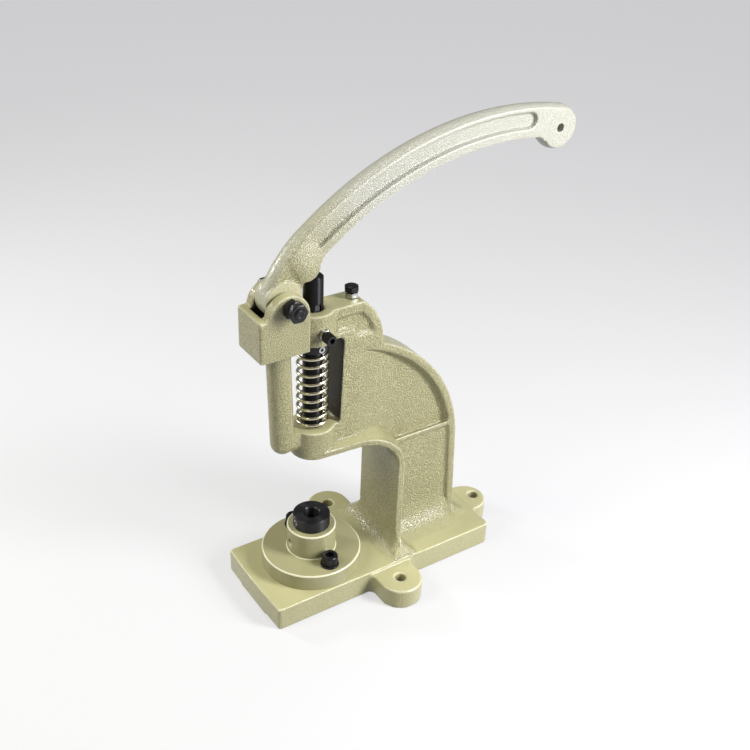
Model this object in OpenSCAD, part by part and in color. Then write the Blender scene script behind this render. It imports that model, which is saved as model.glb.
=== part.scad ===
// Hand lever press for setting snaps and eyelets.
// A cast C-frame on a bolted-down base carries a spring-returned plunger above a die table.
// A long curved lever, pivoted in a fork in front of the plunger, presses the plunger down with its nose.
// Millimetres. +Z is up, +X runs from the plunger to the column. The origin is on the base's bottom face,
// under the axis of the plunger.

/* [Base] */
// Width of the base plate
base_w = 84.4; // [76:0.1:110]
// Thickness of the base plate
base_t = 20.2; // [14:0.1:30]
// Plunger axis to the front edge of the base
base_front = 54.9; // [50:0.1:80]
// Column's rear edge to the rear edge of the base
base_tail = 15.8; // [15:0.1:40]
// Corner radius of the base plate
base_corner_r = 4; // [1:0.5:10]
// Bow of the base's front edge
base_bow = 1.2; // [0.5:0.1:4]
// Step from the base's top down to the tops of its lugs
lug_step = 2.4; // [1:0.1:8]
// End radius of the two side lugs
side_lug_r = 18; // [12:0.5:22]
// Base edge to the hole of a side lug
side_lug_reach = 14.3; // [8:0.1:25]
// Plunger axis to the side lugs
side_lug_x = 51; // [40:0.5:70]
// End radius of the rear lug
rear_lug_r = 17.3; // [12:0.1:22]
// Base edge to the end arc's centre of the rear lug
rear_lug_reach = 7; // [4:0.1:20]
// Diameter of the bolt holes in the lugs
lug_hole_d = 9; // [6:0.5:12]
// Rear lug's end arc to its hole, outwards
rear_hole_offset = 8; // [0:0.5:8]

/* [Frame] */
// Clear height of the throat above the base
throat_h = 110.1; // [90:0.1:140]
// Plunger axis to the front face of the column
throat_depth = 65; // [55:0.5:90]
// Radius of the throat's arch
arch_r = 26; // [18:0.5:32]
// Depth of the column, front face to rear edge
column_depth = 73.8; // [60:0.1:95]
// Lean of the column's rear edge, over its height
column_lean = 4.4; // [0:0.1:8]
// Radius of the arm's outer arc
outer_r = 127; // [118:0.5:140]
// Arm's underside down to the centre of its outer arc
arc_drop = 34.3; // [25:0.1:45]
// Thickness of the arm and the head
arm_t = 22; // [18:0.5:28]
// Thickness of the column's web
web_t = 16; // [12:0.5:18]
// Thickness of the arm's web inside its rim
pocket_web_t = 10; // [6:0.5:12]
// Height of the rim around the arm's pocket, seen from the side
rim_h = 6; // [4:0.5:9]
// Width of the sloped wall of the pocket
pocket_slope = 5; // [2:0.5:7]
// Thickness of the flange along the throat
flange_t = 5.5; // [4:0.1:8]
// Width of the flange on the column
flange_w = 54.6; // [46:0.1:66]
// Width of the flange under the arm
arm_flange_w = 39; // [36:0.5:44]
// Height that the flange's back slopes up to the web
flange_slope = 5.5; // [2:0.5:8]
// Radius of the flange's fillet in front of the column's foot
front_foot_r = 17; // [8:0.5:22]
// Radius of the flange's fillet behind the column's foot
back_foot_r = 13; // [6:0.5:16]
// Radius of the flange's flare at the base
flare_r = 24; // [15:0.5:30]
// Gap between the flared foot and the edge of the base
flare_gap = 1.7; // [0.5:0.1:6]
// Radius of the fillet along the foot of the web
web_foot_r = 10; // [4:0.5:12]
// Radius of the fillet behind the column
rear_foot_r = 13; // [6:0.5:14]

/* [Head] */
// Diameter of the lower boss
lower_boss_d = 34.6; // [30:0.1:38]
// Height of the lower boss
lower_boss_h = 24.2; // [18:0.5:32]
// Height of the window between the two bosses
window_h = 74; // [60:0.5:100]
// Plunger axis to the window's rear wall, at its foot
window_rear = 18.2; // [16.5:0.1:22]
// Slant of the window's rear wall, over its height
window_slant = 2.2; // [0:0.1:4]
// Corner radius at the window's top
window_r = 3.5; // [1:0.5:6]
// Diameter of the upper boss
upper_boss_d = 32; // [28:0.5:36]
// Height of the upper boss
upper_boss_h = 25; // [20:0.5:32]
// Plunger axis to the end of the head's flat top
head_reach = 37.3; // [34:0.1:46]
// Radius of the head's rounded back
head_r = 45.6; // [42:0.1:60]
// Width of the front bar
bar_w = 18.6; // [14:0.1:20]
// Plunger axis to the centre of the front bar, at its foot
bar_x = 26.2; // [25:0.1:32]
// Slant of the front bar, over the window's height
bar_slant = 2.6; // [0:0.1:4]
// Depth of the flat-sided part behind the bar's round front
bar_back = 5; // [2:0.5:7]
// Depth of the pocket in the side of the head
head_pocket = 3; // [1:0.5:5]

/* [Fork] */
// Width of the fork block
fork_w = 34.4; // [30:0.1:42]
// Gap between the fork's ears
fork_gap = 17; // [15:0.1:22]
// Plunger axis to the fork's front face
fork_front = 51.9; // [48:0.1:62]
// Plunger axis to the fork's rear face
fork_rear = 11.8; // [10:0.1:15]
// Thickness of the fork's front wall
fork_wall = 5.9; // [4:0.1:7]
// Height of the fork block
fork_h = 32.5; // [28:0.5:36]
// Height from the fork block's foot to the floor of its slot
fork_floor = 23.5; // [16:0.5:24]
// Radius of the ears
ear_r = 16.2; // [15:0.1:18]
// Edge radius of the fork block
fork_edge_r = 2; // [0.5:0.5:4]
// Plunger axis to the lever's pivot
pivot_x = 27.5; // [26:0.1:31]
// Height of the lever's pivot above the fork block's foot
pivot_h = 39.5; // [37:0.5:43]
// Diameter of the pivot bolt
pivot_d = 8; // [6:0.5:10]

/* [Lever] */
// Width of the lever's arm
lever_w = 14; // [12:0.5:16]
// Depth of the lever's arm, inner edge to outer edge
lever_depth = 24.7; // [20:0.1:30]
// Radius of the lever's curve, at the middle of its depth
lever_r = 259.9; // [230:0.1:300]
// Length of the lever's arm along its curve
lever_length = 232.7; // [180:0.1:280]
// Pivot to the arm's root, rearwards
root_dx = 23.4; // [20:0.1:26]
// Pivot to the arm's root, upwards
root_dz = 35.5; // [32:0.1:39]
// Direction of the arm's root, seen from the centre of its curve
root_angle = 130; // [126:0.5:134]
// Crown of the arm's outer face
lever_crown = 2.2; // [0.5:0.1:4]
// Rim above the arm's long recess
recess_outer_rim = 4.7; // [3:0.1:7]
// Rim below the arm's long recess
recess_inner_rim = 6.5; // [3:0.1:8]
// Depth of the arm's long recess
recess_depth = 3.4; // [2:0.1:5]
// Width of the recess's sloped wall
recess_slope = 1.5; // [1:0.1:4]
// Root end of the arm to the recess
recess_start = 5.9; // [3:0.1:15]
// Eye end of the arm to the recess
recess_end = 31.8; // [28:0.1:45]
// Radius of the eye at the lever's end
eye_r = 17.2; // [14:0.1:22]
// Diameter of the hole in the eye
eye_hole_d = 7; // [4:0.5:10]
// Radius of the fillet in front of the eye
neck_r = 9; // [5:0.5:14]
// Radius of the lever's hub round the pivot
root_r = 15; // [13:0.1:15.5]
// Radius of the nose that presses on the plunger
nose_r = 11; // [9:0.1:13]
// Width of the nose
nose_w = 22; // [16:0.5:24]
// Radius of the fillet between the nose and the arm
nose_fillet_r = 11; // [6:0.5:14]
// Radius of the root's slightly rounded back
root_back_r = 110; // [80:1:200]
// Plunger axis to the middle of the nose
nose_x = 10; // [8:0.1:12]

/* [Plunger] */
// Diameter of the plunger
plunger_d = 15; // [13:0.1:17]
// Length of the plunger below the lower boss
plunger_drop = 4; // [2:0.5:8]
// Length of the plunger above the head
plunger_rise = 25.8; // [24:0.1:31]
// Chamfer at the plunger's ends
plunger_chamfer = 1; // [0.3:0.1:2]
// Travel of the plunger
plunger_travel = 17.9; // [10:0.1:18]
// Bore for the upper die
upper_die_d = 9.5; // [6:0.1:10]
// Depth of the bore for the upper die
upper_die_depth = 22; // [12:0.5:40]
// Outer diameter of the spring's collar
collar_d = 25.2; // [24:0.1:28]
// Height of the spring's collar
collar_h = 7.2; // [6:0.1:10]
// Outer diameter of the return spring
spring_d = 25; // [22:0.1:26]
// Diameter of the spring's wire
spring_wire = 2.6; // [1.8:0.1:3]
// Turns of the return spring
spring_turns = 9.5; // [6:0.5:12]

/* [Die table] */
// Diameter of the table's flange
table_d = 81; // [70:0.5:84]
// Thickness of the table's flange
table_t = 14.1; // [9:0.1:20]
// Diameter of the table's hub
table_hub_d = 39.8; // [36:0.1:46]
// Height of the table's hub above the flange
table_hub_h = 22.3; // [18:0.1:34]
// Gap between the hub and the washers of the table's two screws
washer_gap = 1.6; // [0.5:0.1:3]
// Direction of the table's screws, seen from above
table_screw_angle = 270; // [180:1:359]
// Diameter of the die socket's collar
socket_d = 29.9; // [26:0.1:34]
// Height of the die socket's collar
socket_h = 10.6; // [9:0.1:18]
// Diameter of the die socket's stem inside the hub
stem_d = 22; // [18:0.5:26]
// Length of the die socket's stem
stem_l = 30; // [16:0.5:33]
// Bore for the lower die
lower_die_d = 12.5; // [8:0.1:14]

/* [Fasteners] */
// Thread diameter of the table's cap screws
table_screw_d = 8; // [6:0.5:8]
// Thread diameter of the guide screw
guide_screw_d = 5; // [4:0.5:6]
// Height of the guide screw above the upper boss's foot
guide_rise = 10.1; // [8:0.1:12]
// Length of the guide screw's head
guide_head_h = 8.3; // [5:0.1:10]
// Thread diameter of the stop bolt
stop_bolt_d = 6; // [5:0.5:8]
// Height of the stop bolt's head above the head of the frame
stop_h = 10; // [9:0.1:13]
// Plunger axis to the stop bolt
stop_x = 32.5; // [26:0.5:33]
// Thread diameter of the small set screws
set_screw_d = 5; // [4:0.5:5]

/* [Clearances] */
// Radial running clearance of the plunger and of the pivot
running_fit = 0.05; // [0.02:0.01:0.1]
// Radial clearance of a thread in its hole
thread_fit = 0.05; // [0.02:0.01:0.1]
// Side clearance of the lever's hub in the fork
side_fit = 0.4; // [0.2:0.05:1]
// Gap between the nose and the plunger, and between the collar and the upper boss
rest_gap = 0.3; // [0.2:0.05:0.6]

/* [Hidden] */
$fn = 96;

paint = [0.78, 0.76, 0.60];
black_oxide = [0.10, 0.10, 0.11];
zinc = [0.78, 0.79, 0.80];
spring_steel = [0.72, 0.70, 0.62];

// How far a cutting shape runs past the face that it cuts
past = 1;
// Facets of the long, shallow curves
fine = 360;

// Heights, from the base up
arm_z = base_t + throat_h;
window_z = arm_z + lower_boss_h;
head_z = window_z + window_h;
head_top = head_z + upper_boss_h;

// Places along the frame
column_x = throat_depth;
rear_x = column_x + column_depth;
arc_x = rear_x - column_lean - outer_r;
arc_z = arm_z - arc_drop;
base_rear = rear_x + base_tail;
arch_x = column_x - arch_r;
arch_z = arm_z - arch_r;
crease_z = arm_z - 0.6*arch_r;
head_back_z = head_top - sqrt(head_r*head_r - pow(head_reach - head_r*0.22, 2));
rim_flank = pocket_slope*(arm_t - web_t)/(arm_t - pocket_web_t);

// The fork and the lever, as places in the side view
pivot = [-pivot_x, head_z + pivot_h];
ear_drop = 7.5;
ear = pivot - [0.9, ear_drop];
hub_w = fork_gap - 2*side_fit;
plunger_r = plunger_d/2;
plunger_top = head_top + plunger_rise;
nose = [-nose_x, plunger_top + rest_gap + sqrt(nose_r*nose_r - pow(max(0, nose_x - plunger_r), 2))];
root_mid = pivot + [root_dx, root_dz];
curve = root_mid - lever_r*[cos(root_angle), sin(root_angle)];
lever_out = lever_r + lever_depth/2;
lever_in = lever_r - lever_depth/2;
eye_angle = root_angle - lever_length/lever_r*180/PI;

// The root's back is an arc that touches both the arm's outer face and the hub
back_at = lever_out - root_back_r;
back_reach = root_back_r - root_r;
pivot_at = norm(pivot - curve);
pivot_angle = atan2(pivot.y - curve.y, pivot.x - curve.x);
back_turn = acos((back_at*back_at + pivot_at*pivot_at - back_reach*back_reach)/(2*back_at*pivot_at));
back_angle = pivot_angle - back_turn;
back = curve + back_at*[cos(back_angle), sin(back_angle)];
hub_angle = atan2(pivot.y - back.y, pivot.x - back.x);

// The spring and its collar
collar_top = head_z - rest_gap;
collar_z = collar_top - collar_h;
spring_mean_r = (spring_d - spring_wire)/2;

// The die table, from the base's top up
table_z = base_t;
flange_top = table_z + table_t;
hub_top = flange_top + table_hub_h;
socket_top = hub_top + socket_h;

// Point on a circle, at an angle in degrees
function at(centre, radius, angle) = centre + radius*[cos(angle), sin(angle)];

// Side view outlines, drawn with x to the rear and y up, given their width across the press
module across(width) {
    rotate([90, 0, 0]) linear_extrude(width, center = true) children();
}

// Front view outlines, drawn with x across the press and y up, run along x from one place to another
module along(from, to) {
    translate([from, 0, 0]) rotate([90, 0, 90]) linear_extrude(to - from) children();
}

// Cylinder across the press, centred on the middle plane
module cross_rod(place, radius, width) {
    translate([place.x, 0, place.y]) rotate([90, 0, 0]) cylinder(h = width, r = radius, center = true);
}

// Quarter of a square with a round bite, which fills the corner between two faces
module fillet_corner(radius) {
    difference() {
        square(radius);
        translate([radius, radius]) circle(radius);
    }
}

module both_sides() {
    children();
    mirror([0, 1, 0]) children();
}

module rounded_plan(from, to, half, radius) {
    translate([from + radius, -half]) square([to - from - 2*radius, 2*half]);
    translate([from, -half + radius]) square([to - from, 2*half - 2*radius]);
    for (x = [from + radius, to - radius], y = [-half + radius, half - radius])
        translate([x, y]) circle(radius);
}

// The base plate, whose front edge is slightly bowed
module base_plate() {
    half = base_w/2;
    bow_r = (half*half + base_bow*base_bow)/(2*base_bow);
    linear_extrude(base_t) intersection() {
        rounded_plan(-base_front, base_rear, half, base_corner_r);
        translate([bow_r - base_front, 0]) circle(bow_r, $fn = fine);
        translate([-base_front - past, -base_w]) square([2*bow_r, 2*base_w]);
    }
}

// A half-round ear of the base with fillets where it leaves the edge, in plan, standing out along +x
module lug_plan(radius, reach, flank) {
    circle(radius);
    translate([-reach - past, -radius]) square([reach + past, 2*radius]);
    for (side = [-1, 1])
        scale([1, side]) translate([-reach, radius]) fillet_corner(flank);
}

module base_lugs() {
    top = base_t - lug_step;
    flank = 5;
    linear_extrude(top) {
        for (side = [-1, 1])
            translate([side_lug_x, side*(base_w/2 + side_lug_reach)]) rotate(side*90)
                lug_plan(side_lug_r, side_lug_reach, flank);
        translate([base_rear + rear_lug_reach, 0]) lug_plan(rear_lug_r, rear_lug_reach, flank);
    }
}

// Everything under the arm and in front of the column
module throat_plan() {
    low = -past;
    left = -2*fork_front;
    translate([left, low]) square([column_x - left, arch_z - low]);
    translate([left, low]) square([arch_x - left, arm_z - low]);
    translate([arch_x, arch_z]) circle(arch_r);
}

// The clear window round the spring, open at both sides
module window_plan() {
    top_x = window_rear + window_slant;
    low = head_z - window_r;
    left = -2*fork_front;
    polygon([[left, window_z], [window_rear, window_z], [top_x, low], [left, low]]);
    translate([left, low - past]) square([top_x - window_r - left, window_r + past]);
    translate([top_x - window_r, low]) circle(window_r);
}

// Side view of the arm and the head as one plate
module arm_plan() {
    difference() {
        union() {
            intersection() {
                translate([arc_x, arc_z]) circle(outer_r, $fn = fine);
                translate([0, arc_z]) square([rear_x, head_top - arc_z]);
            }
            intersection() {
                translate([head_r*0.22, head_back_z]) circle(head_r, $fn = fine);
                translate([0, window_z]) square([rear_x, head_top - window_z]);
            }
        }
        throat_plan();
        window_plan();
    }
}

// Side view of the column's web
module column_plan() {
    difference() {
        polygon([[column_x - past, 0], [rear_x - rim_h/2, 0], [rear_x - column_lean - rim_h/2, crease_z],
                 [column_x - arch_r, crease_z]]);
        throat_plan();
    }
}

// The rim along the column's rear edge, with sloped flanks, leaning with the edge
module rear_rim() {
    lean = atan(column_lean/arc_z);
    half = arm_t/2 + 0.15;
    start = base_t/2;
    translate([rear_x - 0.1, 0, 0]) rotate([0, -lean, 0]) translate([0, 0, start])
        linear_extrude(arc_z/cos(lean) + 2*past - start)
        polygon([[0, -half], [0, half], [-rim_h, half], [-rim_h - rim_flank, web_t/2],
                 [-rim_h - rim_flank, -web_t/2], [-rim_h, -half]]);
}

// The flange that lines the throat: under the arm, round the arch and down the column
module throat_flange() {
    wide = flange_w/2;
    narrow = arm_flange_w/2;
    blend_x = arch_x - flange_slope;
    intersection() {
        across(flange_w) {
            translate([0, arm_z]) square([arch_x, flange_t]);
            intersection() {
                difference() {
                    translate([arch_x, arch_z]) circle(arch_r + flange_t);
                    translate([arch_x, arch_z]) circle(arch_r);
                }
                translate([arch_x, arch_z]) square(arch_r + flange_t + past);
            }
            translate([column_x, base_t - past]) square([flange_t, arch_z - base_t + past]);
        }
        linear_extrude(head_top)
            polygon([[0, -lower_boss_d/2], [blend_x, -narrow], [column_x, -wide], [column_x + flange_t, -wide],
                     [column_x + flange_t, wide], [column_x, wide], [blend_x, narrow], [0, lower_boss_d/2]]);
    }
}

// The sloped back of the flange on one side, which rises to the floor of the pocket
module flange_back() {
    narrow = arm_flange_w/2;
    floor_y = pocket_web_t/2;
    foot_r = arch_r + flange_t;
    low_z = arm_z + flange_t;
    top_r = foot_r + flange_slope;
    along(0, arch_x) polygon([[0, low_z - past], [-narrow + past, low_z - past], [-narrow + past, low_z],
                              [-floor_y, low_z + flange_slope], [0, low_z + flange_slope]]);
    intersection() {
        translate([arch_x, -floor_y, arch_z]) rotate([90, 0, 0])
            cylinder(h = narrow - floor_y, r1 = top_r, r2 = foot_r);
        difference() {
            translate([arch_x, -narrow, arch_z]) cube([top_r + past, narrow, top_r + past]);
            cross_rod([arch_x, arch_z], arch_r + flange_t/2, flange_w);
        }
    }
    translate([column_x + flange_t, -web_t/2, base_t]) mirror([0, 1, 0])
        linear_extrude(arch_z - base_t) fillet_corner(0.6*flange_slope);
}

// The flared foot of the flange, rounded off to the base in front, behind and at its sides
module flange_foot() {
    rise = flare_r;
    half = base_w/2 - flare_gap;
    low = base_t - past;
    intersection() {
        across(base_w) translate([column_x, base_t]) {
            translate([0, -past]) square([flange_t, rise + past]);
            mirror([1, 0]) fillet_corner(front_foot_r);
            translate([-front_foot_r, -past]) square([front_foot_r + flange_t + back_foot_r, past]);
            translate([flange_t, 0]) fillet_corner(back_foot_r);
        }
        along(column_x - front_foot_r, column_x + flange_t + back_foot_r) intersection() {
            union() {
                translate([-flange_w/2, low]) square([flange_w, rise + past]);
                for (side = [-1, 1])
                    scale([side, 1]) translate([flange_w/2, base_t]) fillet_corner(flare_r);
                translate([-half, low]) square([2*half, past]);
            }
            translate([-half, low]) square([2*half, rise + past]);
        }
    }
}

// Fillets along the foot of the web, and the rounded foot behind the column
module web_feet() {
    both_sides() along(column_x + flange_t, rear_x - rim_h)
        translate([web_t/2, base_t]) fillet_corner(web_foot_r);
    side_r = 0.7*rear_foot_r;
    low = base_t - past;
    half = arm_t/2 + 0.3;
    foot_x = rear_x - column_lean*(base_t + rear_foot_r)/arc_z;
    front = rear_x - rim_h;
    intersection() {
        across(base_w) {
            translate([front, low]) square([foot_x - front + rear_foot_r, past]);
            translate([front, low]) square([foot_x - front, rear_foot_r + past]);
            translate([foot_x, base_t]) fillet_corner(rear_foot_r);
        }
        along(front, foot_x + rear_foot_r) {
            translate([-half, low]) square([2*half, rear_foot_r + past]);
            translate([-half - side_r, low]) square([2*half + 2*side_r, past]);
            for (side = [-1, 1])
                scale([side, 1]) translate([half, base_t]) fillet_corner(side_r);
        }
    }
}

// The pocket in one side of the arm: its outer wall follows the arm's arc and slopes inwards,
// its lower wall is the sloped back of the flange and the ledge above the column
module arm_pocket() {
    depth = (arm_t - pocket_web_t)/2;
    left = window_rear + 0.75*arm_t;
    rim_r = outer_r - rim_h;
    floor_y = pocket_web_t/2;
    foot_r = arch_r + flange_t;
    top_r = foot_r + flange_slope;
    slope = atan(pocket_slope/depth);
    drop = flange_slope*(depth + past)/(arm_flange_w/2 - floor_y);
    difference() {
        translate([arc_x, -floor_y, arc_z]) rotate([90, 0, 0])
            cylinder(h = depth + past, r1 = rim_r - pocket_slope, r2 = rim_r + pocket_slope*past/depth, $fn = fine);
        translate([arc_x - 2*outer_r, -2*arm_t, 0]) cube([left - arc_x + 2*outer_r, 4*arm_t, 2*head_top]);
        translate([-outer_r, -floor_y, crease_z]) rotate([90 - slope, 0, 0]) translate([0, -2*outer_r, -outer_r])
            cube([4*outer_r, 2*outer_r, 2*outer_r]);
        translate([arch_x, past - floor_y, arch_z]) rotate([90, 0, 0])
            cylinder(h = depth + 3*past, r1 = top_r + drop*past/(depth + past), r2 = top_r - drop*(depth + 2*past)/(depth + past));
        along(-outer_r, arch_x)
            polygon([[past - floor_y, 0], [past - floor_y, arm_z + flange_t + flange_slope + drop*past/(depth + past)],
                     [-arm_t/2 - past, arm_z + flange_t + flange_slope - drop], [-arm_t/2 - past, 0]]);
    }
}

// The upper end of the column's hollow side, below the pocket and inside the same rim
module column_hollow() {
    depth = (arm_t - web_t)/2;
    rim_r = outer_r - rim_h;
    keep_r = arch_r + flange_t + flange_slope;
    translate([0, -web_t/2, 0]) intersection() {
        translate([arc_x, 0, arc_z]) rotate([90, 0, 0])
            cylinder(h = depth + past, r1 = rim_r - rim_flank, r2 = rim_r + rim_flank*past/depth, $fn = fine);
        rotate([90, 0, 0]) linear_extrude(arm_t) difference() {
            translate([column_x + flange_t, arc_z - past]) square([column_depth, crease_z - arc_z + past]);
            intersection() {
                translate([arch_x, arch_z]) circle(keep_r);
                translate([arch_x, arch_z]) square(keep_r + past);
            }
        }
    }
}

// The shallow pocket in one side of the head: a cone follows the head's back, sloped planes its top and floor
module head_pocket_cut() {
    wall = 6.5;
    slope = head_pocket;
    floor_y = arm_t/2 - head_pocket;
    left = 0.85*upper_boss_d/2;
    top = head_top - wall - 1;
    ledge_z = head_z + window_r;
    step_x = window_rear + 12;
    step = 7;
    rim_r = head_r - wall;
    spread = slope*(1 + past/head_pocket);
    module floor_side(z) {
        along(-past, 2*head_reach) polygon([[-floor_y, z + slope], [-floor_y - head_pocket - past, z + slope - spread],
                                            [-floor_y - head_pocket - past, z - head_r], [-floor_y, z - head_r]]);
    }
    intersection() {
        translate([head_r*0.22, -floor_y, head_back_z]) rotate([90, 0, 0])
            cylinder(h = head_pocket + past, r1 = rim_r - slope, r2 = rim_r + slope*past/head_pocket);
        translate([left, -arm_t, 0]) cube([2*head_reach, arm_t, 2*head_top]);
        difference() {
            along(0, 2*head_reach)
                polygon([[-floor_y, head_z - step], [-floor_y, top - slope], [-floor_y - head_pocket - past, top - slope + spread],
                         [-floor_y - head_pocket - past, head_z - step]]);
            intersection() {
                floor_side(ledge_z);
                translate([-past, -arm_t, 0]) cube([step_x + past, arm_t, 2*head_top]);
            }
            floor_side(ledge_z - step);
        }
    }
}

// The round-fronted bar that joins the fork to the lower boss in front of the window
module front_bar() {
    half = bar_w/2;
    lean = atan(bar_slant/window_h);
    foot_z = window_z - bar_w/2;
    height = (head_z - foot_z)/cos(lean) + past;
    translate([-bar_x, 0, foot_z]) rotate([0, -lean, 0]) {
        cylinder(h = height, r = half);
        translate([0, -half, 0]) cube([bar_back, bar_w, height]);
    }
    translate([-bar_x, 0, foot_z]) sphere(half);
    web_half = half - 0.4;
    translate([-bar_x, 0, foot_z]) rotate([0, 90, 0]) cylinder(h = bar_x, r = web_half);
    translate([-bar_x, -web_half, foot_z]) cube([bar_x, 2*web_half, half]);
}

// The fork block with its two half-round ears
module fork_block() {
    top = head_z + fork_h;
    edge = fork_edge_r;
    slot_x = -fork_front + fork_wall;
    difference() {
        intersection() {
            across(fork_w) {
                translate([-fork_front, head_z]) square([fork_front - fork_rear, fork_h - edge]);
                translate([-fork_front + edge, top - 2*edge]) square([fork_front - fork_rear - 2*edge, 2*edge]);
                for (x = [-fork_front + edge, -fork_rear - edge])
                    translate([x, top - edge]) circle(edge);
                intersection() {
                    translate(ear) circle(ear_r);
                    translate([ear.x - ear_r, head_z]) square([2*ear_r, ear.y + ear_r - head_z]);
                }
            }
            linear_extrude(2*head_top) rounded_plan(-fork_front, 0, fork_w/2, edge);
        }
        translate([slot_x, -fork_gap/2, head_z + fork_floor]) cube([fork_front, fork_gap, fork_front]);
        cross_rod(pivot, pivot_d/2 + running_fit, fork_w + 2*past);
    }
}

// Upright bore, from one height to another
module bore(radius, from, to) {
    translate([0, 0, from]) cylinder(h = to - from, r = radius);
}

// Places of the two cap screws of the die table, whose washers lie just clear of the hub
washer_d = 15/8*table_screw_d;
table_screw_at = table_hub_d/2 + washer_gap + washer_d/2;
function table_screw_place(turn) = at([0, 0], table_screw_at, table_screw_angle + turn);
table_screw_l = table_t + 0.6*base_t;

// The cast frame: base, column, arm, head and fork in one piece
module frame_casting() {
    guide_z = guide_screw_z;
    color(paint) difference() {
        union() {
            base_plate();
            base_lugs();
            difference() {
                across(arm_t) arm_plan();
                both_sides() arm_pocket();
                both_sides() column_hollow();
                both_sides() head_pocket_cut();
            }
            across(web_t) column_plan();
            rear_rim();
            throat_flange();
            both_sides() flange_back();
            flange_foot();
            web_feet();
            front_bar();
            bore(lower_boss_d/2, arm_z, window_z);
            bore(upper_boss_d/2, head_z, head_top);
            fork_block();
        }
        bore(plunger_r + running_fit, arm_z - past, window_z + past);
        bore(plunger_r + running_fit, head_z - past, head_top + past);
        translate([0, -upper_boss_d, guide_z]) rotate([90, 0, 0]) translate([0, 0, -upper_boss_d])
            cylinder(h = upper_boss_d, r = guide_screw_d/2 + thread_fit);
        translate([0, guide_seat_y, guide_z]) rotate([90, 0, 0]) cylinder(h = upper_boss_d, r = guide_seat_r);
        translate([stop_x, 0, head_top - stop_depth]) cylinder(h = stop_depth + past, r = stop_bolt_d/2 + thread_fit);
        for (turn = [0, 180])
            translate([table_screw_place(turn).x, table_screw_place(turn).y, base_t - table_screw_l + table_t])
                cylinder(h = base_t, r = table_screw_d/2 + thread_fit);
        for (side = [-1, 1])
            translate([side_lug_x, side*(base_w/2 + side_lug_reach), -past])
                cylinder(h = base_t, r = lug_hole_d/2);
        translate([base_rear + rear_lug_reach + rear_hole_offset, 0, -past]) cylinder(h = base_t, r = lug_hole_d/2);
    }
}

// A section swept round a centre in the side view, from one angle to another
module lever_sweep(centre, from, to) {
    translate([centre.x, 0, centre.y]) rotate([90, 0, 0]) rotate(from)
        rotate_extrude(angle = to - from, $fn = fine) children();
}

// Section of the arm or of a round end, with a crowned outer face, from one radius to another
module crowned_section(inner, outer, width) {
    half = width/2;
    crown_r = (half*half + lever_crown*lever_crown)/(2*lever_crown);
    translate([inner, -half]) square([outer - 1.5*lever_crown - inner, width]);
    intersection() {
        translate([outer - crown_r, 0]) circle(crown_r);
        translate([outer - 2*lever_crown, -half]) square([3*lever_crown, width]);
    }
}

// The long recess in one side of the arm, with sloped walls and round ends, which are a trace narrower
recess_step = 0.15;

module lever_recess() {
    low = lever_in + recess_inner_rim;
    high = lever_out - recess_outer_rim;
    mid = (low + high)/2;
    round_r = (high - low)/2 - recess_step;
    from = eye_angle + recess_end/lever_r*180/PI;
    to = back_angle - recess_start/lever_r*180/PI;
    floor_y = lever_w/2 - recess_depth;
    spread = recess_slope*past/recess_depth;
    lever_sweep(curve, from, to)
        polygon([[low + recess_slope, floor_y], [high - recess_slope, floor_y],
                 [high + spread, lever_w/2 + past], [low - spread, lever_w/2 + past]]);
    for (angle = [from, to])
        translate([at(curve, mid, angle).x, -floor_y, at(curve, mid, angle).y]) rotate([90, 0, 0])
            cylinder(h = recess_depth + past, r1 = round_r - recess_slope, r2 = round_r + spread);
}

// Side view of the lever's root: the hub, the nose and the plate between them and the arm, just inside its back
root_inset = 0.4;
root_proud = 0.3;
// How far the root's back and the eye stand proud of the arm, as separate patterns of the casting do
lip = 0.2;

module root_plan() {
    fillet_at = lever_in + 2*lip - nose_fillet_r;
    nose_at = norm(nose - curve);
    reach = nose_r + nose_fillet_r;
    nose_angle = atan2(nose.y - curve.y, nose.x - curve.x);
    turn = acos((nose_at*nose_at + fillet_at*fillet_at - reach*reach)/(2*nose_at*fillet_at));
    fillet = at(curve, fillet_at, nose_angle - turn);
    foot = at(curve, lever_in + past, nose_angle - turn);
    translate(pivot) circle(root_r);
    translate(nose) circle(nose_r);
    polygon([pivot, pivot + root_r*[cos(20), sin(20)], at(nose, 0.98*nose_r, 255), nose]);
    intersection() {
        translate(back) circle(root_back_r - lever_crown - root_inset, $fn = fine);
        polygon([pivot, at(back, root_back_r + root_r, hub_angle), pivot + [-3*root_r, 3*root_r],
                 at(curve, lever_out + root_r, back_angle + 1), at(curve, lever_r, back_angle - 0.7), foot, nose]);
    }
    difference() {
        polygon([nose, fillet, foot]);
        translate(fillet) circle(nose_fillet_r);
    }
}

// The part of the root that lies between the ears, up to the crease beside the nose
module hub_side_plan() {
    polygon([pivot + [-4*root_r, -2*root_r], pivot + [1.2*root_r, -2*root_r], pivot + [1.2*root_r, 0.4*root_r],
             pivot + [0.86*root_r, 0.7*root_r], pivot + [-0.05*root_dx, 0.86*root_dz],
             pivot + [-4*root_r, 0.86*root_dz]]);
}

// The fillet between the arm's inner edge and the eye at its end
module neck_plan() {
    eye_at = lever_out - eye_r;
    eye = at(curve, eye_at, eye_angle);
    neck_at = lever_in + 2*lip - neck_r;
    reach = eye_r + neck_r - lip;
    turn = acos((eye_at*eye_at + neck_at*neck_at - reach*reach)/(2*eye_at*neck_at));
    neck = at(curve, neck_at, eye_angle + turn);
    difference() {
        polygon([eye, neck, at(curve, lever_in + past, eye_angle + turn), at(curve, lever_r, eye_angle + turn)]);
        translate(neck) circle(neck_r);
    }
}

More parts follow.
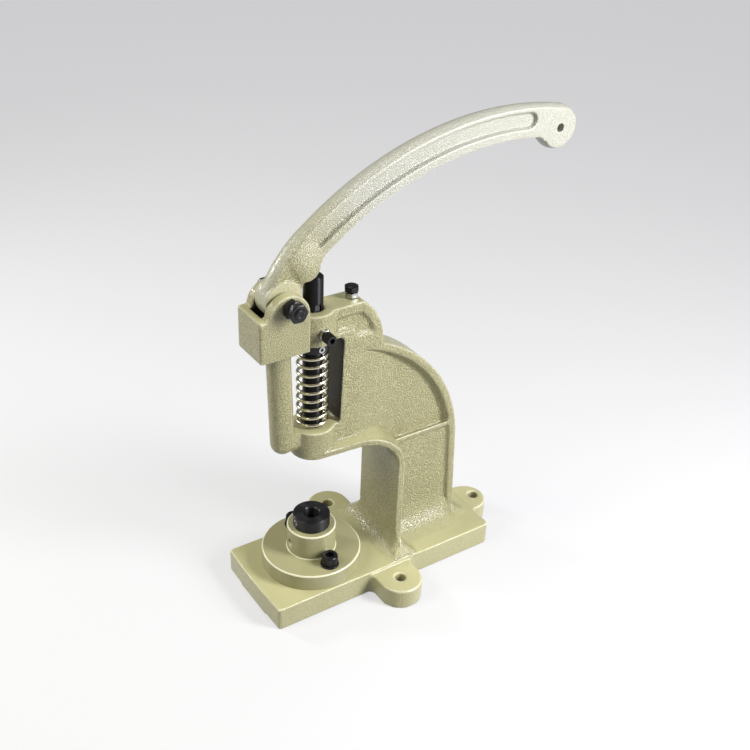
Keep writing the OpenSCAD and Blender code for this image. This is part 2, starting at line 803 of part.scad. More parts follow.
// The nose swells out to its full width on the arm's side of the crease
module nose_boss() {
    flank = (nose_w - lever_w)/2;
    both_sides() intersection() {
        translate([nose.x, -lever_w/2 + past, nose.y]) rotate([90, 0, 0])
            cylinder(h = flank + past, r1 = 2.2*nose_r, r2 = 0.15*nose_r);
        across(2*nose_w) difference() {
            root_plan();
            hub_side_plan();
        }
    }
}

module lever() {
    eye = at(curve, lever_out - eye_r, eye_angle);
    color(paint) difference() {
        union() {
            difference() {
                lever_sweep(curve, eye_angle, back_angle) crowned_section(lever_in, lever_out, lever_w);
                both_sides() lever_recess();
            }
            lever_sweep(back, back_angle - 1, hub_angle)
                crowned_section(root_back_r - lever_depth, root_back_r + lip, lever_w + lip);
            across(lever_w + 2*root_proud) root_plan();
            across(lever_w + lip) neck_plan();
            lever_sweep(eye, 0, 360) crowned_section(0, eye_r + lip, lever_w + 2*lip);
            across(hub_w) intersection() {
                root_plan();
                hub_side_plan();
            }
            nose_boss();
        }
        cross_rod(pivot, pivot_d/2 + running_fit, 2*fork_w);
        cross_rod(eye, eye_hole_d/2, 2*fork_w);
    }
}

// Hexagon of a bolt head or a nut, given the size across its flats
module hexagon(flats) {
    circle(flats/sqrt(3), $fn = 6);
}

// The pivot bolt's head sits against the far ear, its nut against the near one, with a thin lock nut on it
pivot_flats = 13/8*pivot_d;
pivot_head_h = 0.66*pivot_d;
pivot_nut_h = 0.8*pivot_d;
pivot_lock_h = 0.6*pivot_d;
pivot_tip = 1.2;
pivot_nut_turn = 30;

module pivot_bolt() {
    length = fork_w + pivot_nut_h + pivot_lock_h + pivot_tip;
    color(black_oxide) translate([pivot.x, fork_w/2, pivot.y]) rotate([90, 0, 0]) {
        cylinder(h = length - plunger_chamfer, r = pivot_d/2);
        translate([0, 0, length - plunger_chamfer])
            cylinder(h = plunger_chamfer, r1 = pivot_d/2, r2 = pivot_d/2 - plunger_chamfer);
        translate([0, 0, -pivot_head_h]) linear_extrude(pivot_head_h) hexagon(pivot_flats);
    }
}

// A nut on the pivot bolt, given how far it stands off the near ear, its height and its turn
module nut_on_pivot(stand_off, height, turn) {
    color(black_oxide) translate([pivot.x, -fork_w/2 - stand_off, pivot.y]) rotate([90, 0, 0]) difference() {
        linear_extrude(height) rotate(turn) hexagon(pivot_flats);
        translate([0, 0, -past]) cylinder(h = height + 2*past, r = pivot_d/2 + thread_fit);
    }
}

module pivot_nut() { nut_on_pivot(0, pivot_nut_h, pivot_nut_turn); }
module pivot_lock_nut() { nut_on_pivot(pivot_nut_h, pivot_lock_h, 0); }

// The plunger: a bar with chamfered ends, a die bore below and a keyway for the guide screw
key_depth = 1.6;
key_gap = 0.2;
upper_screw_rise = 1.2*set_screw_d;

module plunger() {
    foot = arm_z - plunger_drop;
    c = plunger_chamfer;
    key_r = guide_screw_d/2 + key_gap;
    color(black_oxide) difference() {
        rotate_extrude()
            polygon([[0, foot], [plunger_r - c, foot], [plunger_r, foot + c], [plunger_r, plunger_top - c],
                     [plunger_r - c, plunger_top], [0, plunger_top]]);
        bore(upper_die_d/2, foot - past, foot + upper_die_depth);
        translate([0, -plunger_r + key_depth, 0]) rotate([90, 0, 0]) linear_extrude(plunger_r) {
            translate([-key_r, guide_screw_z]) square([2*key_r, plunger_travel]);
            for (z = [guide_screw_z, guide_screw_z + plunger_travel])
                translate([0, z]) circle(key_r);
        }
        translate([0, 0, foot + upper_screw_rise]) rotate([90, 0, 0])
            cylinder(h = plunger_d, r = set_screw_d/2 + thread_fit);
        translate([0, 0, collar_z + collar_h/2]) rotate(collar_screw_angle) rotate([0, 90, 0])
            translate([0, 0, plunger_r - spot_depth]) cylinder(h = plunger_r, r = set_screw_d/2 + thread_fit);
    }
}

// The grub screw that holds the upper die, flush with the plunger
module upper_die_set_screw() {
    foot = arm_z - plunger_drop;
    outer = plunger_r - 0.5;
    length = outer - upper_die_d/2;
    color(black_oxide) translate([0, -outer, foot + upper_screw_rise]) rotate([-90, 0, 0])
        socket_screw_tip(set_screw_d, length, 0.5*length);
}

// Thread of a socket set screw with its hexagon socket, from its outer end inwards
module socket_screw_tip(d, length, socket) {
    difference() {
        cylinder(h = length, r = d/2);
        translate([0, 0, -past]) linear_extrude(socket + past) hexagon(0.5*d);
    }
}

// The collar on the plunger, which carries the top of the spring
collar_screw_angle = 270;
spot_depth = 1;

module spring_collar() {
    color(black_oxide) translate([0, 0, collar_z]) difference() {
        cylinder(h = collar_h, r = collar_d/2);
        translate([0, 0, -past]) cylinder(h = collar_h + 2*past, r = plunger_r + thread_fit);
        translate([0, 0, collar_h/2]) rotate(collar_screw_angle) rotate([0, 90, 0])
            cylinder(h = collar_d, r = set_screw_d/2 + thread_fit);
    }
}

module collar_set_screw() {
    inner = plunger_r - spot_depth + thread_fit;
    outer = collar_d/2 + 0.8;
    color(zinc) translate([0, 0, collar_z + collar_h/2]) rotate(collar_screw_angle) rotate([0, 90, 0])
        translate([0, 0, outer]) rotate([180, 0, 0]) socket_screw_tip(set_screw_d, outer - inner, 2);
}

// The return spring: one wire wound round the plunger, with closed end turns and square ends.
// A curl has eight rings of six sides. The ends run straight, down to the boss and up to the collar.
curl_rings = 8;
wire_sides = 6;
end_turns = 1;
end_pitch = spring_wire + 1.6;

spring_low = window_z + 1.5*spring_wire;
spring_high = collar_z - 1.5*spring_wire;
free_pitch = (spring_high - spring_low - 2*end_turns*end_pitch)/(spring_turns - 2*end_turns);

// Height of the wire's middle after a number of turns
function wire_z(turn) =
    turn < end_turns ? spring_low + turn*end_pitch :
    turn > spring_turns - end_turns ? spring_high - (spring_turns - turn)*end_pitch :
    spring_low + end_turns*end_pitch + (turn - end_turns)*free_pitch;
function wire_point(turn) = [spring_mean_r*cos(360*turn), spring_mean_r*sin(360*turn), wire_z(turn)];
wire_count = round(spring_turns*curl_rings);
wire_path = [for (i = [0:wire_count]) wire_point(i/curl_rings)];

// A ring of the wire round a point, in the upright plane through the spring's axis
function wire_ring(turn) = [for (k = [0:wire_sides - 1])
    wire_point(turn) + spring_wire/2*[cos(360*turn)*cos(60*k), sin(360*turn)*cos(60*k), sin(60*k)]];
// A level ring, for the straight ends
function end_ring(turn, z) = [for (k = [0:wire_sides - 1])
    [wire_point(turn).x, wire_point(turn).y, z]
    + spring_wire/2*[cos(360*turn)*cos(60*k) + sin(360*turn)*sin(60*k),
                     sin(360*turn)*cos(60*k) - cos(360*turn)*sin(60*k), 0]];
wire_rings = concat([end_ring(0, window_z)],
                    [end_ring(0, window_z + spring_wire)],
                    [for (i = [1:wire_count - 1]) wire_ring(i/curl_rings)],
                    [end_ring(spring_turns, collar_z - spring_wire)],
                    [end_ring(spring_turns, collar_z)]);
last_ring = len(wire_rings) - 1;
wire_faces = concat(
    [for (i = [0:last_ring - 1], k = [0:wire_sides - 1])
        let (a = i*wire_sides + k, b = i*wire_sides + (k + 1) % wire_sides)
        each [[a, b, b + wire_sides], [a, b + wire_sides, a + wire_sides]]],
    [for (k = [1:wire_sides - 2]) [0, k + 1, k]],
    [for (k = [1:wire_sides - 2])
        [last_ring*wire_sides, last_ring*wire_sides + k, last_ring*wire_sides + k + 1]]);

// Least gap between two curls, measured from point to point over all turns but the nearest
wire_gap = min([for (i = [0:wire_count], j = [i + curl_rings/2:1:wire_count])
    norm(wire_path[i] - wire_path[j])]) - spring_wire;
echo(least_gap_between_spring_curls = wire_gap);

module return_spring() {
    color(spring_steel) polyhedron([for (ring = wire_rings) each ring], wire_faces, convexity = 10);
}

// The guide screw: a cap screw with a lock nut, whose tip runs in the plunger's keyway
guide_screw_z = head_z + guide_rise;
guide_head_d = 1.7*guide_screw_d;
guide_nut_h = 0.64*guide_screw_d;
guide_seat_r = 1.25*guide_screw_d;
guide_seat_y = -upper_boss_d/2 + 0.4;
guide_tip_y = -plunger_r + key_depth - key_gap;

// Cap screw pointing up from the under side of its head, with a hexagon socket in the head
module cap_screw(d, head_d, head_h, length) {
    cylinder(h = length, r = d/2);
    translate([0, 0, -head_h]) difference() {
        cylinder(h = head_h, r = head_d/2);
        translate([0, 0, -past]) linear_extrude(0.55*d + past) hexagon(0.8*d);
    }
}

module guide_screw() {
    under_head = guide_seat_y - guide_nut_h;
    color(black_oxide) translate([0, under_head, guide_screw_z]) rotate([-90, 0, 0])
        cap_screw(guide_screw_d, guide_head_d, guide_head_h, guide_tip_y - under_head);
}

module guide_lock_nut() {
    color(zinc) translate([0, guide_seat_y, guide_screw_z]) rotate([90, 0, 0]) difference() {
        linear_extrude(guide_nut_h) hexagon(1.7*guide_screw_d);
        translate([0, 0, -past]) cylinder(h = guide_nut_h + 2*past, r = guide_screw_d/2 + thread_fit);
    }
}

// The stop bolt: its head meets the lever's inner edge at the end of the stroke
stop_flats = 10/6*stop_bolt_d;
stop_nut_h = 0.8*stop_bolt_d;
stop_depth = 14;
stop_head_h = stop_h - stop_nut_h;

module stop_bolt() {
    dome = 0.35*stop_head_h;
    color(black_oxide) translate([stop_x, 0, head_top]) {
        translate([0, 0, -stop_depth + past]) cylinder(h = stop_depth - past + stop_nut_h, r = stop_bolt_d/2);
        translate([0, 0, stop_nut_h]) intersection() {
            linear_extrude(stop_head_h) hexagon(stop_flats);
            rotate_extrude() polygon([[0, 0], [stop_flats, 0], [stop_flats/sqrt(3), stop_head_h - dome],
                                      [0.42*stop_flats, stop_head_h], [0, stop_head_h]]);
        }
    }
}

module stop_lock_nut() {
    color(zinc) translate([stop_x, 0, head_top]) difference() {
        linear_extrude(stop_nut_h) hexagon(0.92*stop_flats);
        translate([0, 0, -past]) cylinder(h = stop_nut_h + 2*past, r = stop_bolt_d/2 + thread_fit);
    }
}

// The die table: a turned flange with a hub that takes the die socket's stem
table_edge = 1.2;
hub_screw_z = flange_top + 0.48*table_hub_h;
die_screw_z = hub_top + 0.5*socket_h;
die_screw_angle = 180;
hub_screw_angle = 180;

module die_table() {
    e = table_edge;
    stem_floor = hub_top - stem_l;
    color(paint) difference() {
        rotate_extrude() difference() {
            polygon([[0, table_z], [table_d/2, table_z], [table_d/2, flange_top - e], [table_d/2 - e, flange_top],
                     [table_hub_d/2 + e, flange_top], [table_hub_d/2, flange_top + e],
                     [table_hub_d/2, hub_top - e], [table_hub_d/2 - e, hub_top], [0, hub_top]]);
            translate([0, stem_floor]) square([stem_d/2 + thread_fit, stem_l + past]);
        }
        for (turn = [0, 180])
            translate([table_screw_place(turn).x, table_screw_place(turn).y, table_z - past])
                cylinder(h = table_t + 2*past, r = table_screw_d/2 + 0.3);
        translate([0, 0, hub_screw_z]) rotate(hub_screw_angle) rotate([0, 90, 0])
            cylinder(h = table_hub_d, r = set_screw_d/2 + thread_fit);
    }
}

// The black die socket: a collar on the hub with a stem in it, bored for the lower die's shank
module die_socket() {
    e = table_edge/2;
    stem_foot = hub_top - stem_l + 0.5;
    color(black_oxide) difference() {
        rotate_extrude() difference() {
            polygon([[0, stem_foot], [stem_d/2, stem_foot], [stem_d/2, hub_top], [socket_d/2, hub_top],
                     [socket_d/2, socket_top - e], [socket_d/2 - e, socket_top], [0, socket_top]]);
            translate([0, stem_foot - past]) square([lower_die_d/2, stem_l + socket_h + 2*past]);
        }
        translate([0, 0, die_screw_z]) rotate(die_screw_angle) rotate([0, 90, 0])
            cylinder(h = socket_d, r = set_screw_d/2 + thread_fit);
    }
}

// Set screw in the collar of the socket, which grips the lower die
module die_set_screw() {
    inner = lower_die_d/2 + 0.5;
    outer = socket_d/2 - 0.4;
    color(zinc) translate([0, 0, die_screw_z]) rotate(die_screw_angle) rotate([0, 90, 0])
        translate([0, 0, outer]) rotate([180, 0, 0]) socket_screw_tip(set_screw_d, outer - inner, 2);
}

// Set screw in the hub, which grips the socket's stem
module hub_set_screw() {
    inner = stem_d/2 + 0.1;
    outer = table_hub_d/2 - 2.5;
    color(black_oxide) translate([0, 0, hub_screw_z]) rotate(hub_screw_angle) rotate([0, 90, 0])
        translate([0, 0, outer]) rotate([180, 0, 0]) socket_screw_tip(set_screw_d, outer - inner, 2);
}

// The two cap screws and their washers, which hold the table down on the base
washer_t = 1.6;

module table_screw(turn) {
    place = table_screw_place(turn);
    color(black_oxide) translate([place.x, place.y, flange_top + washer_t]) rotate([180, 0, 0])
        cap_screw(table_screw_d, 13/8*table_screw_d, table_screw_d, table_screw_l - past);
}

module table_washer(turn) {
    place = table_screw_place(turn);
    color(black_oxide) translate([place.x, place.y, flange_top]) difference() {
        cylinder(h = washer_t, r = washer_d/2);
        translate([0, 0, -past]) cylinder(h = washer_t + 2*past, r = table_screw_d/2 + 0.3);
    }
}

module table_screw_near() { table_screw(0); }
module table_screw_far() { table_screw(180); }
module table_washer_near() { table_washer(0); }
module table_washer_far() { table_washer(180); }

frame_casting();
lever();
pivot_bolt();
pivot_nut();
pivot_lock_nut();
plunger();
spring_collar();
collar_set_screw();
return_spring();
upper_die_set_screw();
guide_screw();
guide_lock_nut();
stop_bolt();
stop_lock_nut();
die_table();
die_socket();
die_set_screw();
hub_set_screw();
table_screw_near();
table_screw_far();
table_washer_near();
table_washer_far();
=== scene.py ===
import math

import bmesh
import bpy
import numpy as np
from mathutils import Matrix, Vector


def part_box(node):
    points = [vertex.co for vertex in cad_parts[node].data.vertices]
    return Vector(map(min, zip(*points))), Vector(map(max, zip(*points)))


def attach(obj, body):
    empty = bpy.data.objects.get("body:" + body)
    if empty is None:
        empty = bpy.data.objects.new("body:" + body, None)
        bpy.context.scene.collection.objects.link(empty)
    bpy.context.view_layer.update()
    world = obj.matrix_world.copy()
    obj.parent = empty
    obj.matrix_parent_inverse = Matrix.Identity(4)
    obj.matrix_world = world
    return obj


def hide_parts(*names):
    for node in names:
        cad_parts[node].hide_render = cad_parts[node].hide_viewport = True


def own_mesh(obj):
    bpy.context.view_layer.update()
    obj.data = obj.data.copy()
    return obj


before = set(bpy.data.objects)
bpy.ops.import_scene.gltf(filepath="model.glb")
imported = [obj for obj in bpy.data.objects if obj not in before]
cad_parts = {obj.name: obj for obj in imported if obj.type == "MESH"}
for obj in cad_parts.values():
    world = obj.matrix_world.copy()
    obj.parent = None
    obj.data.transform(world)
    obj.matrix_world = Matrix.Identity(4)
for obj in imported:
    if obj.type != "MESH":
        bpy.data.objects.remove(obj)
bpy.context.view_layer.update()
scene = bpy.context.scene
mm = 0.001


# The frame casting: base, column, arm, bosses and fork in one piece of sand-cast grey iron.
# Moulding and two coats of olive paint leave soft edges and a pebbled skin. Base top and boss
# ends are dressed flat before painting, and the plunger's bores are drilled after it.

def cast_skin(node, piece, voxel, passes, triangles):
    """A copy of a cast solid whose edges have the soft radius of moulded and painted iron."""
    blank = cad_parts[node].data.copy()
    form = bmesh.new()
    form.from_mesh(blank)
    bmesh.ops.remove_doubles(form, verts=form.verts, dist=1e-7)
    form.to_mesh(blank)
    form.free()
    mould = bpy.data.objects.new(piece + "_mould", blank)
    scene.collection.objects.link(mould)
    skin = mould.modifiers.new("skin", "REMESH")
    skin.mode = "VOXEL"
    skin.voxel_size = voxel
    skin.use_smooth_shade = True
    soft = mould.modifiers.new("soft", "SMOOTH")
    soft.factor = 0.5
    soft.iterations = passes
    seen = mould.evaluated_get(bpy.context.evaluated_depsgraph_get())
    corners = sum(len(face.vertices) - 2 for face in seen.data.polygons)
    thin = mould.modifiers.new("thin", "DECIMATE")
    thin.ratio = min(1.0, triangles / corners)
    seen = mould.evaluated_get(bpy.context.evaluated_depsgraph_get())
    mesh = bpy.data.meshes.new_from_object(seen)
    bpy.data.objects.remove(mould)
    mesh.name = piece
    cast_piece = bpy.data.objects.new(piece, mesh)
    scene.collection.objects.link(cast_piece)
    mesh.shade_smooth()
    return cast_piece


def points_of(mesh):
    """The mesh's points and their normals, as two arrays of rows."""
    count = len(mesh.vertices)
    places = np.zeros(count * 3, np.float32)
    normals = np.zeros(count * 3, np.float32)
    mesh.vertices.foreach_get("co", places)
    mesh.vertex_normals.foreach_get("vector", normals)
    return places.reshape(-1, 3).astype(float), normals.reshape(-1, 3).astype(float)


def move_points(mesh, places):
    """Puts the mesh's points at these places."""
    mesh.vertices.foreach_set("co", places.astype(np.float32).ravel())
    mesh.update()


def edge_ends(mesh):
    """The numbers of each edge's two points, as two arrays."""
    ends = np.zeros(len(mesh.edges) * 2, np.int32)
    mesh.edges.foreach_get("vertices", ends)
    return ends.reshape(-1, 2).T


def between(values, low, high):
    """True where a value lies between two limits."""
    return (values > low) & (values < high)


def share_of(values, start, end):
    """How far the values have come from start to end, from 0 to 1."""
    return np.clip((values - start) / (end - start), 0, 1)


def drilled(mesh, middle, axis, radius, low, high):
    """Brings the soft skin back to the true wall of a drilled hole between two depths."""
    skin_slack = 0.8 * mm
    facing_in = -0.4
    core_share = 0.4
    places, normals = points_of(mesh)
    centre = np.array(middle, float)
    along = np.array(axis, float)
    depth = (places - centre) @ along
    out = places - centre - np.outer(depth, along)
    reach = np.linalg.norm(out, axis=1)
    inward = np.einsum("ij,ij->i", normals, out) < facing_in * reach
    wall = inward & between(depth, low, high) & between(reach, core_share * radius, radius + skin_slack)
    places[wall] += out[wall] * (radius / reach[wall] - 1)[:, None]
    move_points(mesh, places)


def eased(mesh, chosen, passes):
    """Smooths the chosen points towards their neighbours, as paint fills the small steps of a fillet."""
    places, normals = points_of(mesh)
    count = len(places)
    first, second = edge_ends(mesh)
    number = np.bincount(first, minlength=count) + np.bincount(second, minlength=count)
    for turn in range(passes):
        for axis in range(3):
            total = np.bincount(first, places[second, axis], count)
            total += np.bincount(second, places[first, axis], count)
            middle = total / np.maximum(number, 1)
            places[chosen, axis] += 0.5 * (middle - places[:, axis])[chosen]
    move_points(mesh, places)


def edge_share(mesh):
    """How far each point bulges out from its neighbours: 1 on outer edges, -1 in inner corners."""
    full_turn = 0.5
    places, normals = points_of(mesh)
    count = len(places)
    first, second = edge_ends(mesh)
    step = places[second] - places[first]
    length = np.maximum(np.linalg.norm(step, axis=1), 1e-9)
    turn = np.einsum("ij,ij->i", normals[second] - normals[first], step) / length
    total = np.bincount(first, turn, count) + np.bincount(second, turn, count)
    number = np.bincount(first, minlength=count) + np.bincount(second, minlength=count)
    return np.clip(total / np.maximum(number, 1) / full_turn, -1, 1)


def write_attribute(mesh, name, values):
    """Stores one number per point for a material to read."""
    attribute = mesh.attributes.new(name, "FLOAT", "POINT")
    attribute.data.foreach_set("value", np.asarray(values, np.float32))


def node_of(tree, kind, values=None, **settings):
    """A new node in a tree, with its settings by attribute and its values by input name."""
    made = tree.nodes.new(kind)
    for key, setting in settings.items():
        setattr(made, key, setting)
    for socket, value in (values or {}).items():
        made.inputs[socket].default_value = value
    return made


def new_finish(name, values):
    """A new material with these values on its shader's sockets; gives it, its tree and its shader."""
    material = bpy.data.materials.new(name)
    material.use_nodes = True
    tree = material.node_tree
    shader = tree.nodes["Principled BSDF"]
    for socket, value in values.items():
        shader.inputs[socket].default_value = value
    return material, tree, shader


def olive_paint(name, shade):
    """Olive paint on cast iron; shade dims its tone, a painted shade for a part in shadow.

    It is pebbled where as_cast, paler on the lever's grip and back (hand wear and a painted highlight),
    lighter at an outer edge (a painted highlight and thin paint), darker in an inner corner (painted shade
    and dust), and near black in the window and the slot (painted shade with some grease).
    """
    material, tree, shader = new_finish(name, {
        "Specular IOR Level": 0.25, "Coat Weight": 0.75, "Coat Roughness": 0.18})
    deep_olive = (shade * 0.375, shade * 0.356, shade * 0.190, 1)
    pale_olive = (shade * 0.440, shade * 0.420, shade * 0.238, 1)
    # Pale tone for the lever's grip and back: hand wear and a painted highlight
    pale_lit_olive = (0.41, 0.41, 0.362, 1)
    edge_highlight_olive = (0.74, 0.72, 0.55, 1)
    pit_tint = (0.70, 0.68, 0.60, 1)
    dust_and_shade_tint = (0.50, 0.47, 0.38, 1)
    # Near black for the painted shade, with some grease, in the window and the slot
    shade_and_grease_black = (0.022, 0.019, 0.009, 1)
    where = node_of(tree, "ShaderNodeTexCoord", name="where")
    cast = node_of(tree, "ShaderNodeAttribute", attribute_name="as_cast")
    rub_and_light = node_of(tree, "ShaderNodeAttribute", attribute_name="rubbed_and_lit")
    edge = node_of(tree, "ShaderNodeAttribute", attribute_name="edge")
    shade_and_grease = node_of(tree, "ShaderNodeAttribute", attribute_name="shade_and_grease")
    patches = node_of(tree, "ShaderNodeTexNoise", {"Scale": 24, "Detail": 4})
    grains = node_of(tree, "ShaderNodeTexNoise", {"Scale": 1050, "Detail": 2, "Roughness": 0.6})
    swell = node_of(tree, "ShaderNodeTexNoise", {"Scale": 80, "Detail": 2})
    pebbles = node_of(tree, "ShaderNodeMapRange", {"From Min": 0.36, "From Max": 0.62},
                      interpolation_type="SMOOTHSTEP")
    pits = node_of(tree, "ShaderNodeMath", {0: 1.0}, operation="SUBTRACT")
    pit_share = node_of(tree, "ShaderNodeMath", operation="MULTIPLY")
    # Outer edges are lightened: a painted highlight, with thin paint worn at the edge
    edge_highlight_and_wear = node_of(tree, "ShaderNodeMapRange", {"From Min": 0.25, "From Max": 0.85, "To Max": 0.8})
    # Inner corners are darkened: painted shade, with some dust
    corner_dust_and_shade = node_of(tree, "ShaderNodeMapRange", {"From Min": -0.12, "From Max": -0.65, "To Max": 0.8})
    tone = node_of(tree, "ShaderNodeMix", {"A": deep_olive, "B": pale_olive}, data_type="RGBA")
    pale_and_lit = node_of(tree, "ShaderNodeMix", {"B": pale_lit_olive}, data_type="RGBA")
    settled = node_of(tree, "ShaderNodeMix", {"B": pit_tint}, data_type="RGBA", blend_type="MULTIPLY")
    thin = node_of(tree, "ShaderNodeMix", {"B": edge_highlight_olive}, data_type="RGBA")
    dust_and_shade = node_of(tree, "ShaderNodeMix", {"B": dust_and_shade_tint}, data_type="RGBA", blend_type="MULTIPLY")
    shade_and_grease_layer = node_of(tree, "ShaderNodeMix", {"B": shade_and_grease_black}, data_type="RGBA")
    gloss = node_of(tree, "ShaderNodeMapRange", {"To Min": 0.50, "To Max": 0.30})
    depth = node_of(tree, "ShaderNodeMapRange", {"To Min": 0.05, "To Max": 1.0})
    broad = node_of(tree, "ShaderNodeBump", {"Distance": 1.0 * mm, "Strength": 0.2})
    fine = node_of(tree, "ShaderNodeBump", {"Distance": 0.6 * mm})
    film = node_of(tree, "ShaderNodeBump", {"Distance": 0.15 * mm})
    link = tree.links.new
    for texture in (patches, grains, swell):
        link(where.outputs["Object"], texture.inputs["Vector"])
    link(grains.outputs["Fac"], pebbles.inputs["Value"])
    link(pebbles.outputs["Result"], pits.inputs[1])
    link(pits.outputs["Value"], pit_share.inputs[0])
    link(cast.outputs["Fac"], pit_share.inputs[1])
    link(edge.outputs["Fac"], edge_highlight_and_wear.inputs["Value"])
    link(edge.outputs["Fac"], corner_dust_and_shade.inputs["Value"])
    link(patches.outputs["Fac"], tone.inputs["Factor"])
    link(rub_and_light.outputs["Fac"], pale_and_lit.inputs["Factor"])
    link(pit_share.outputs["Value"], settled.inputs["Factor"])
    link(edge_highlight_and_wear.outputs["Result"], thin.inputs["Factor"])
    link(corner_dust_and_shade.outputs["Result"], dust_and_shade.inputs["Factor"])
    link(shade_and_grease.outputs["Fac"], shade_and_grease_layer.inputs["Factor"])
    layers = (tone, pale_and_lit, settled, thin, dust_and_shade, shade_and_grease_layer)
    for under, over in zip(layers, layers[1:]):
        link(under.outputs["Result"], over.inputs["A"])
    link(shade_and_grease_layer.outputs["Result"], shader.inputs["Base Color"])
    link(pebbles.outputs["Result"], gloss.inputs["Value"])
    link(gloss.outputs["Result"], shader.inputs["Roughness"])
    link(swell.outputs["Fac"], broad.inputs["Height"])
    link(cast.outputs["Fac"], depth.inputs["Value"])
    for grain, normal in ((fine, "Normal"), (film, "Coat Normal")):
        link(depth.outputs["Result"], grain.inputs["Strength"])
        link(pebbles.outputs["Result"], grain.inputs["Height"])
        link(broad.outputs["Normal"], grain.inputs["Normal"])
        link(grain.outputs["Normal"], shader.inputs[normal])
    return material


def clouded(name, values, scale, detail, tones, roughness):
    """A finish whose tone and roughness drift between two limits with one noise."""
    material, tree, shader = new_finish(name, values)
    where = node_of(tree, "ShaderNodeTexCoord", name="where")
    clouds = node_of(tree, "ShaderNodeTexNoise", {"Scale": scale, "Detail": detail}, name="clouds")
    tone = node_of(tree, "ShaderNodeMix", {"A": tones[0], "B": tones[1]}, data_type="RGBA")
    gloss = node_of(tree, "ShaderNodeMapRange", {"To Min": roughness[0], "To Max": roughness[1]})
    link = tree.links.new
    link(where.outputs["Object"], clouds.inputs["Vector"])
    link(clouds.outputs["Fac"], tone.inputs["Factor"])
    link(tone.outputs["Result"], shader.inputs["Base Color"])
    link(clouds.outputs["Fac"], gloss.inputs["Value"])
    link(gloss.outputs["Result"], shader.inputs["Roughness"])
    return material


def painted_shade_and_grease(name):
    """Near black paint where the lever and the spring work: painted shade, with some grease and dust."""
    shade_and_grease_darks = ((0.010, 0.009, 0.005, 1), (0.050, 0.045, 0.022, 1))
    material = clouded(name, {"Specular IOR Level": 0.2}, scale=160, detail=5, tones=shade_and_grease_darks,
                       roughness=(0.35, 0.7))
    tree = material.node_tree
    lumps = node_of(tree, "ShaderNodeBump", {"Distance": 0.5 * mm, "Strength": 0.4})
    tree.links.new(tree.nodes["clouds"].outputs["Fac"], lumps.inputs["Height"])
    tree.links.new(lumps.outputs["Normal"], tree.nodes["Principled BSDF"].inputs["Normal"])
    return material


casting_voxel = 1.05 * mm
casting_passes = 2
casting_triangles = 190000
base_top = 20.2 * mm
lug_top = 17.8 * mm
lug_hole_r = 4.5 * mm
lug_holes = [(51.0 * mm, -56.5 * mm, 0), (51.0 * mm, 56.5 * mm, 0), (169.6 * mm, 0, 0)]
plunger_bore_r = 7.55 * mm
bore_spans = [(130.9 * mm, 153.9 * mm), (229.1 * mm, 252.9 * mm)]
paint_depth = 0.3 * mm
casting = cast_skin("frame_casting", "painted_casting", casting_voxel, casting_passes, casting_triangles)
for hole in lug_holes:
    drilled(casting.data, hole, (0, 0, 1), lug_hole_r, paint_depth, lug_top - paint_depth)
for low, high in bore_spans:
    drilled(casting.data, (0, 0, 0), (0, 0, 1), plunger_bore_r, low, high)

# The fillet between the column's hollow sides and the base, which runs out towards its two ends
hollow_half = 8 * mm
foot_r = 24 * mm
foot_front = 62 * mm
foot_rear = 138 * mm
foot_ends = 9 * mm
places, normals = points_of(casting.data)
x, y, z = places.T
foot_share = share_of(x, foot_front, foot_front + foot_ends) * share_of(x, foot_rear, foot_rear - foot_ends)
radius = np.maximum(foot_r * foot_share, 1e-6)
beyond = np.abs(y) - hollow_half - radius
above = z - base_top - radius
from_centre = np.hypot(beyond, above)
in_corner = (beyond < 0) & (above < 0) & (from_centre > radius)
in_corner &= (foot_share > 0) & (z > base_top - paint_depth)
drawn = np.where(in_corner, radius / np.maximum(from_centre, 1e-9), 1.0)
places[:, 1] = np.sign(y) * (hollow_half + radius + beyond * drawn)
places[:, 2] = base_top + radius + above * drawn
move_points(casting.data, places)

# The flare of the whole foot, eased
flare_front = 43 * mm
flare_rear = 165 * mm
flare_half = 36 * mm
flare_top = 70 * mm
flare_passes = 20
least_slope = 0.05
places, normals = points_of(casting.data)
x, y, z = places.T
foot = between(x, flare_front, flare_rear) & (np.abs(y) < flare_half)
foot &= between(z, base_top - paint_depth, flare_top) & (np.abs(normals[:, 2]) > least_slope)
eased(casting.data, foot, flare_passes)

# The arm's pocket, which runs out towards the head
arm_half = 11 * mm
pocket_half = 5 * mm
pocket_front = 34.7 * mm
pocket_full = 72 * mm
pocket_low = 114.5 * mm
pocket_high = 222 * mm
pocket_slack = 1 * mm
end_wall_reach = 1.5 * mm
facing = 0.3
beside_reach = 7 * mm
beside_half = 0.85 * arm_half
beside_passes = 12
places, normals = points_of(casting.data)
x, y, z = places.T
floor_half = arm_half - (arm_half - pocket_half) * share_of(x, pocket_front, pocket_full)
side_wall = np.abs(normals[:, 1]) > facing
end_wall = (x < pocket_front + end_wall_reach) & (normals[:, 0] > facing)
pocket = between(x, pocket_front - pocket_slack, pocket_full) & (side_wall | end_wall)
pocket &= between(z, pocket_low, pocket_high)
sunk = pocket & between(np.abs(y), pocket_half - pocket_slack, floor_half)
places[sunk, 1] = np.sign(places[sunk, 1]) * floor_half[sunk]
move_points(casting.data, places)
beside = (np.abs(x - pocket_front) < beside_reach) & between(z, pocket_low, pocket_high)
beside &= between(np.abs(y), beside_half, arm_half + paint_depth)
eased(casting.data, beside, beside_passes)

# The ledge between the arm's pocket and the column, eased
ledge_z = 114.7 * mm
ledge_reach = 5 * mm
ledge_half = hollow_half + 1.5 * mm
ledge_front = 71 * mm
ledge_rear = 133 * mm
ledge_passes = 16
ledge = between(x, ledge_front, ledge_rear) & (np.abs(y) < ledge_half) & (np.abs(z - ledge_z) < ledge_reach)
eased(casting.data, ledge, ledge_passes)

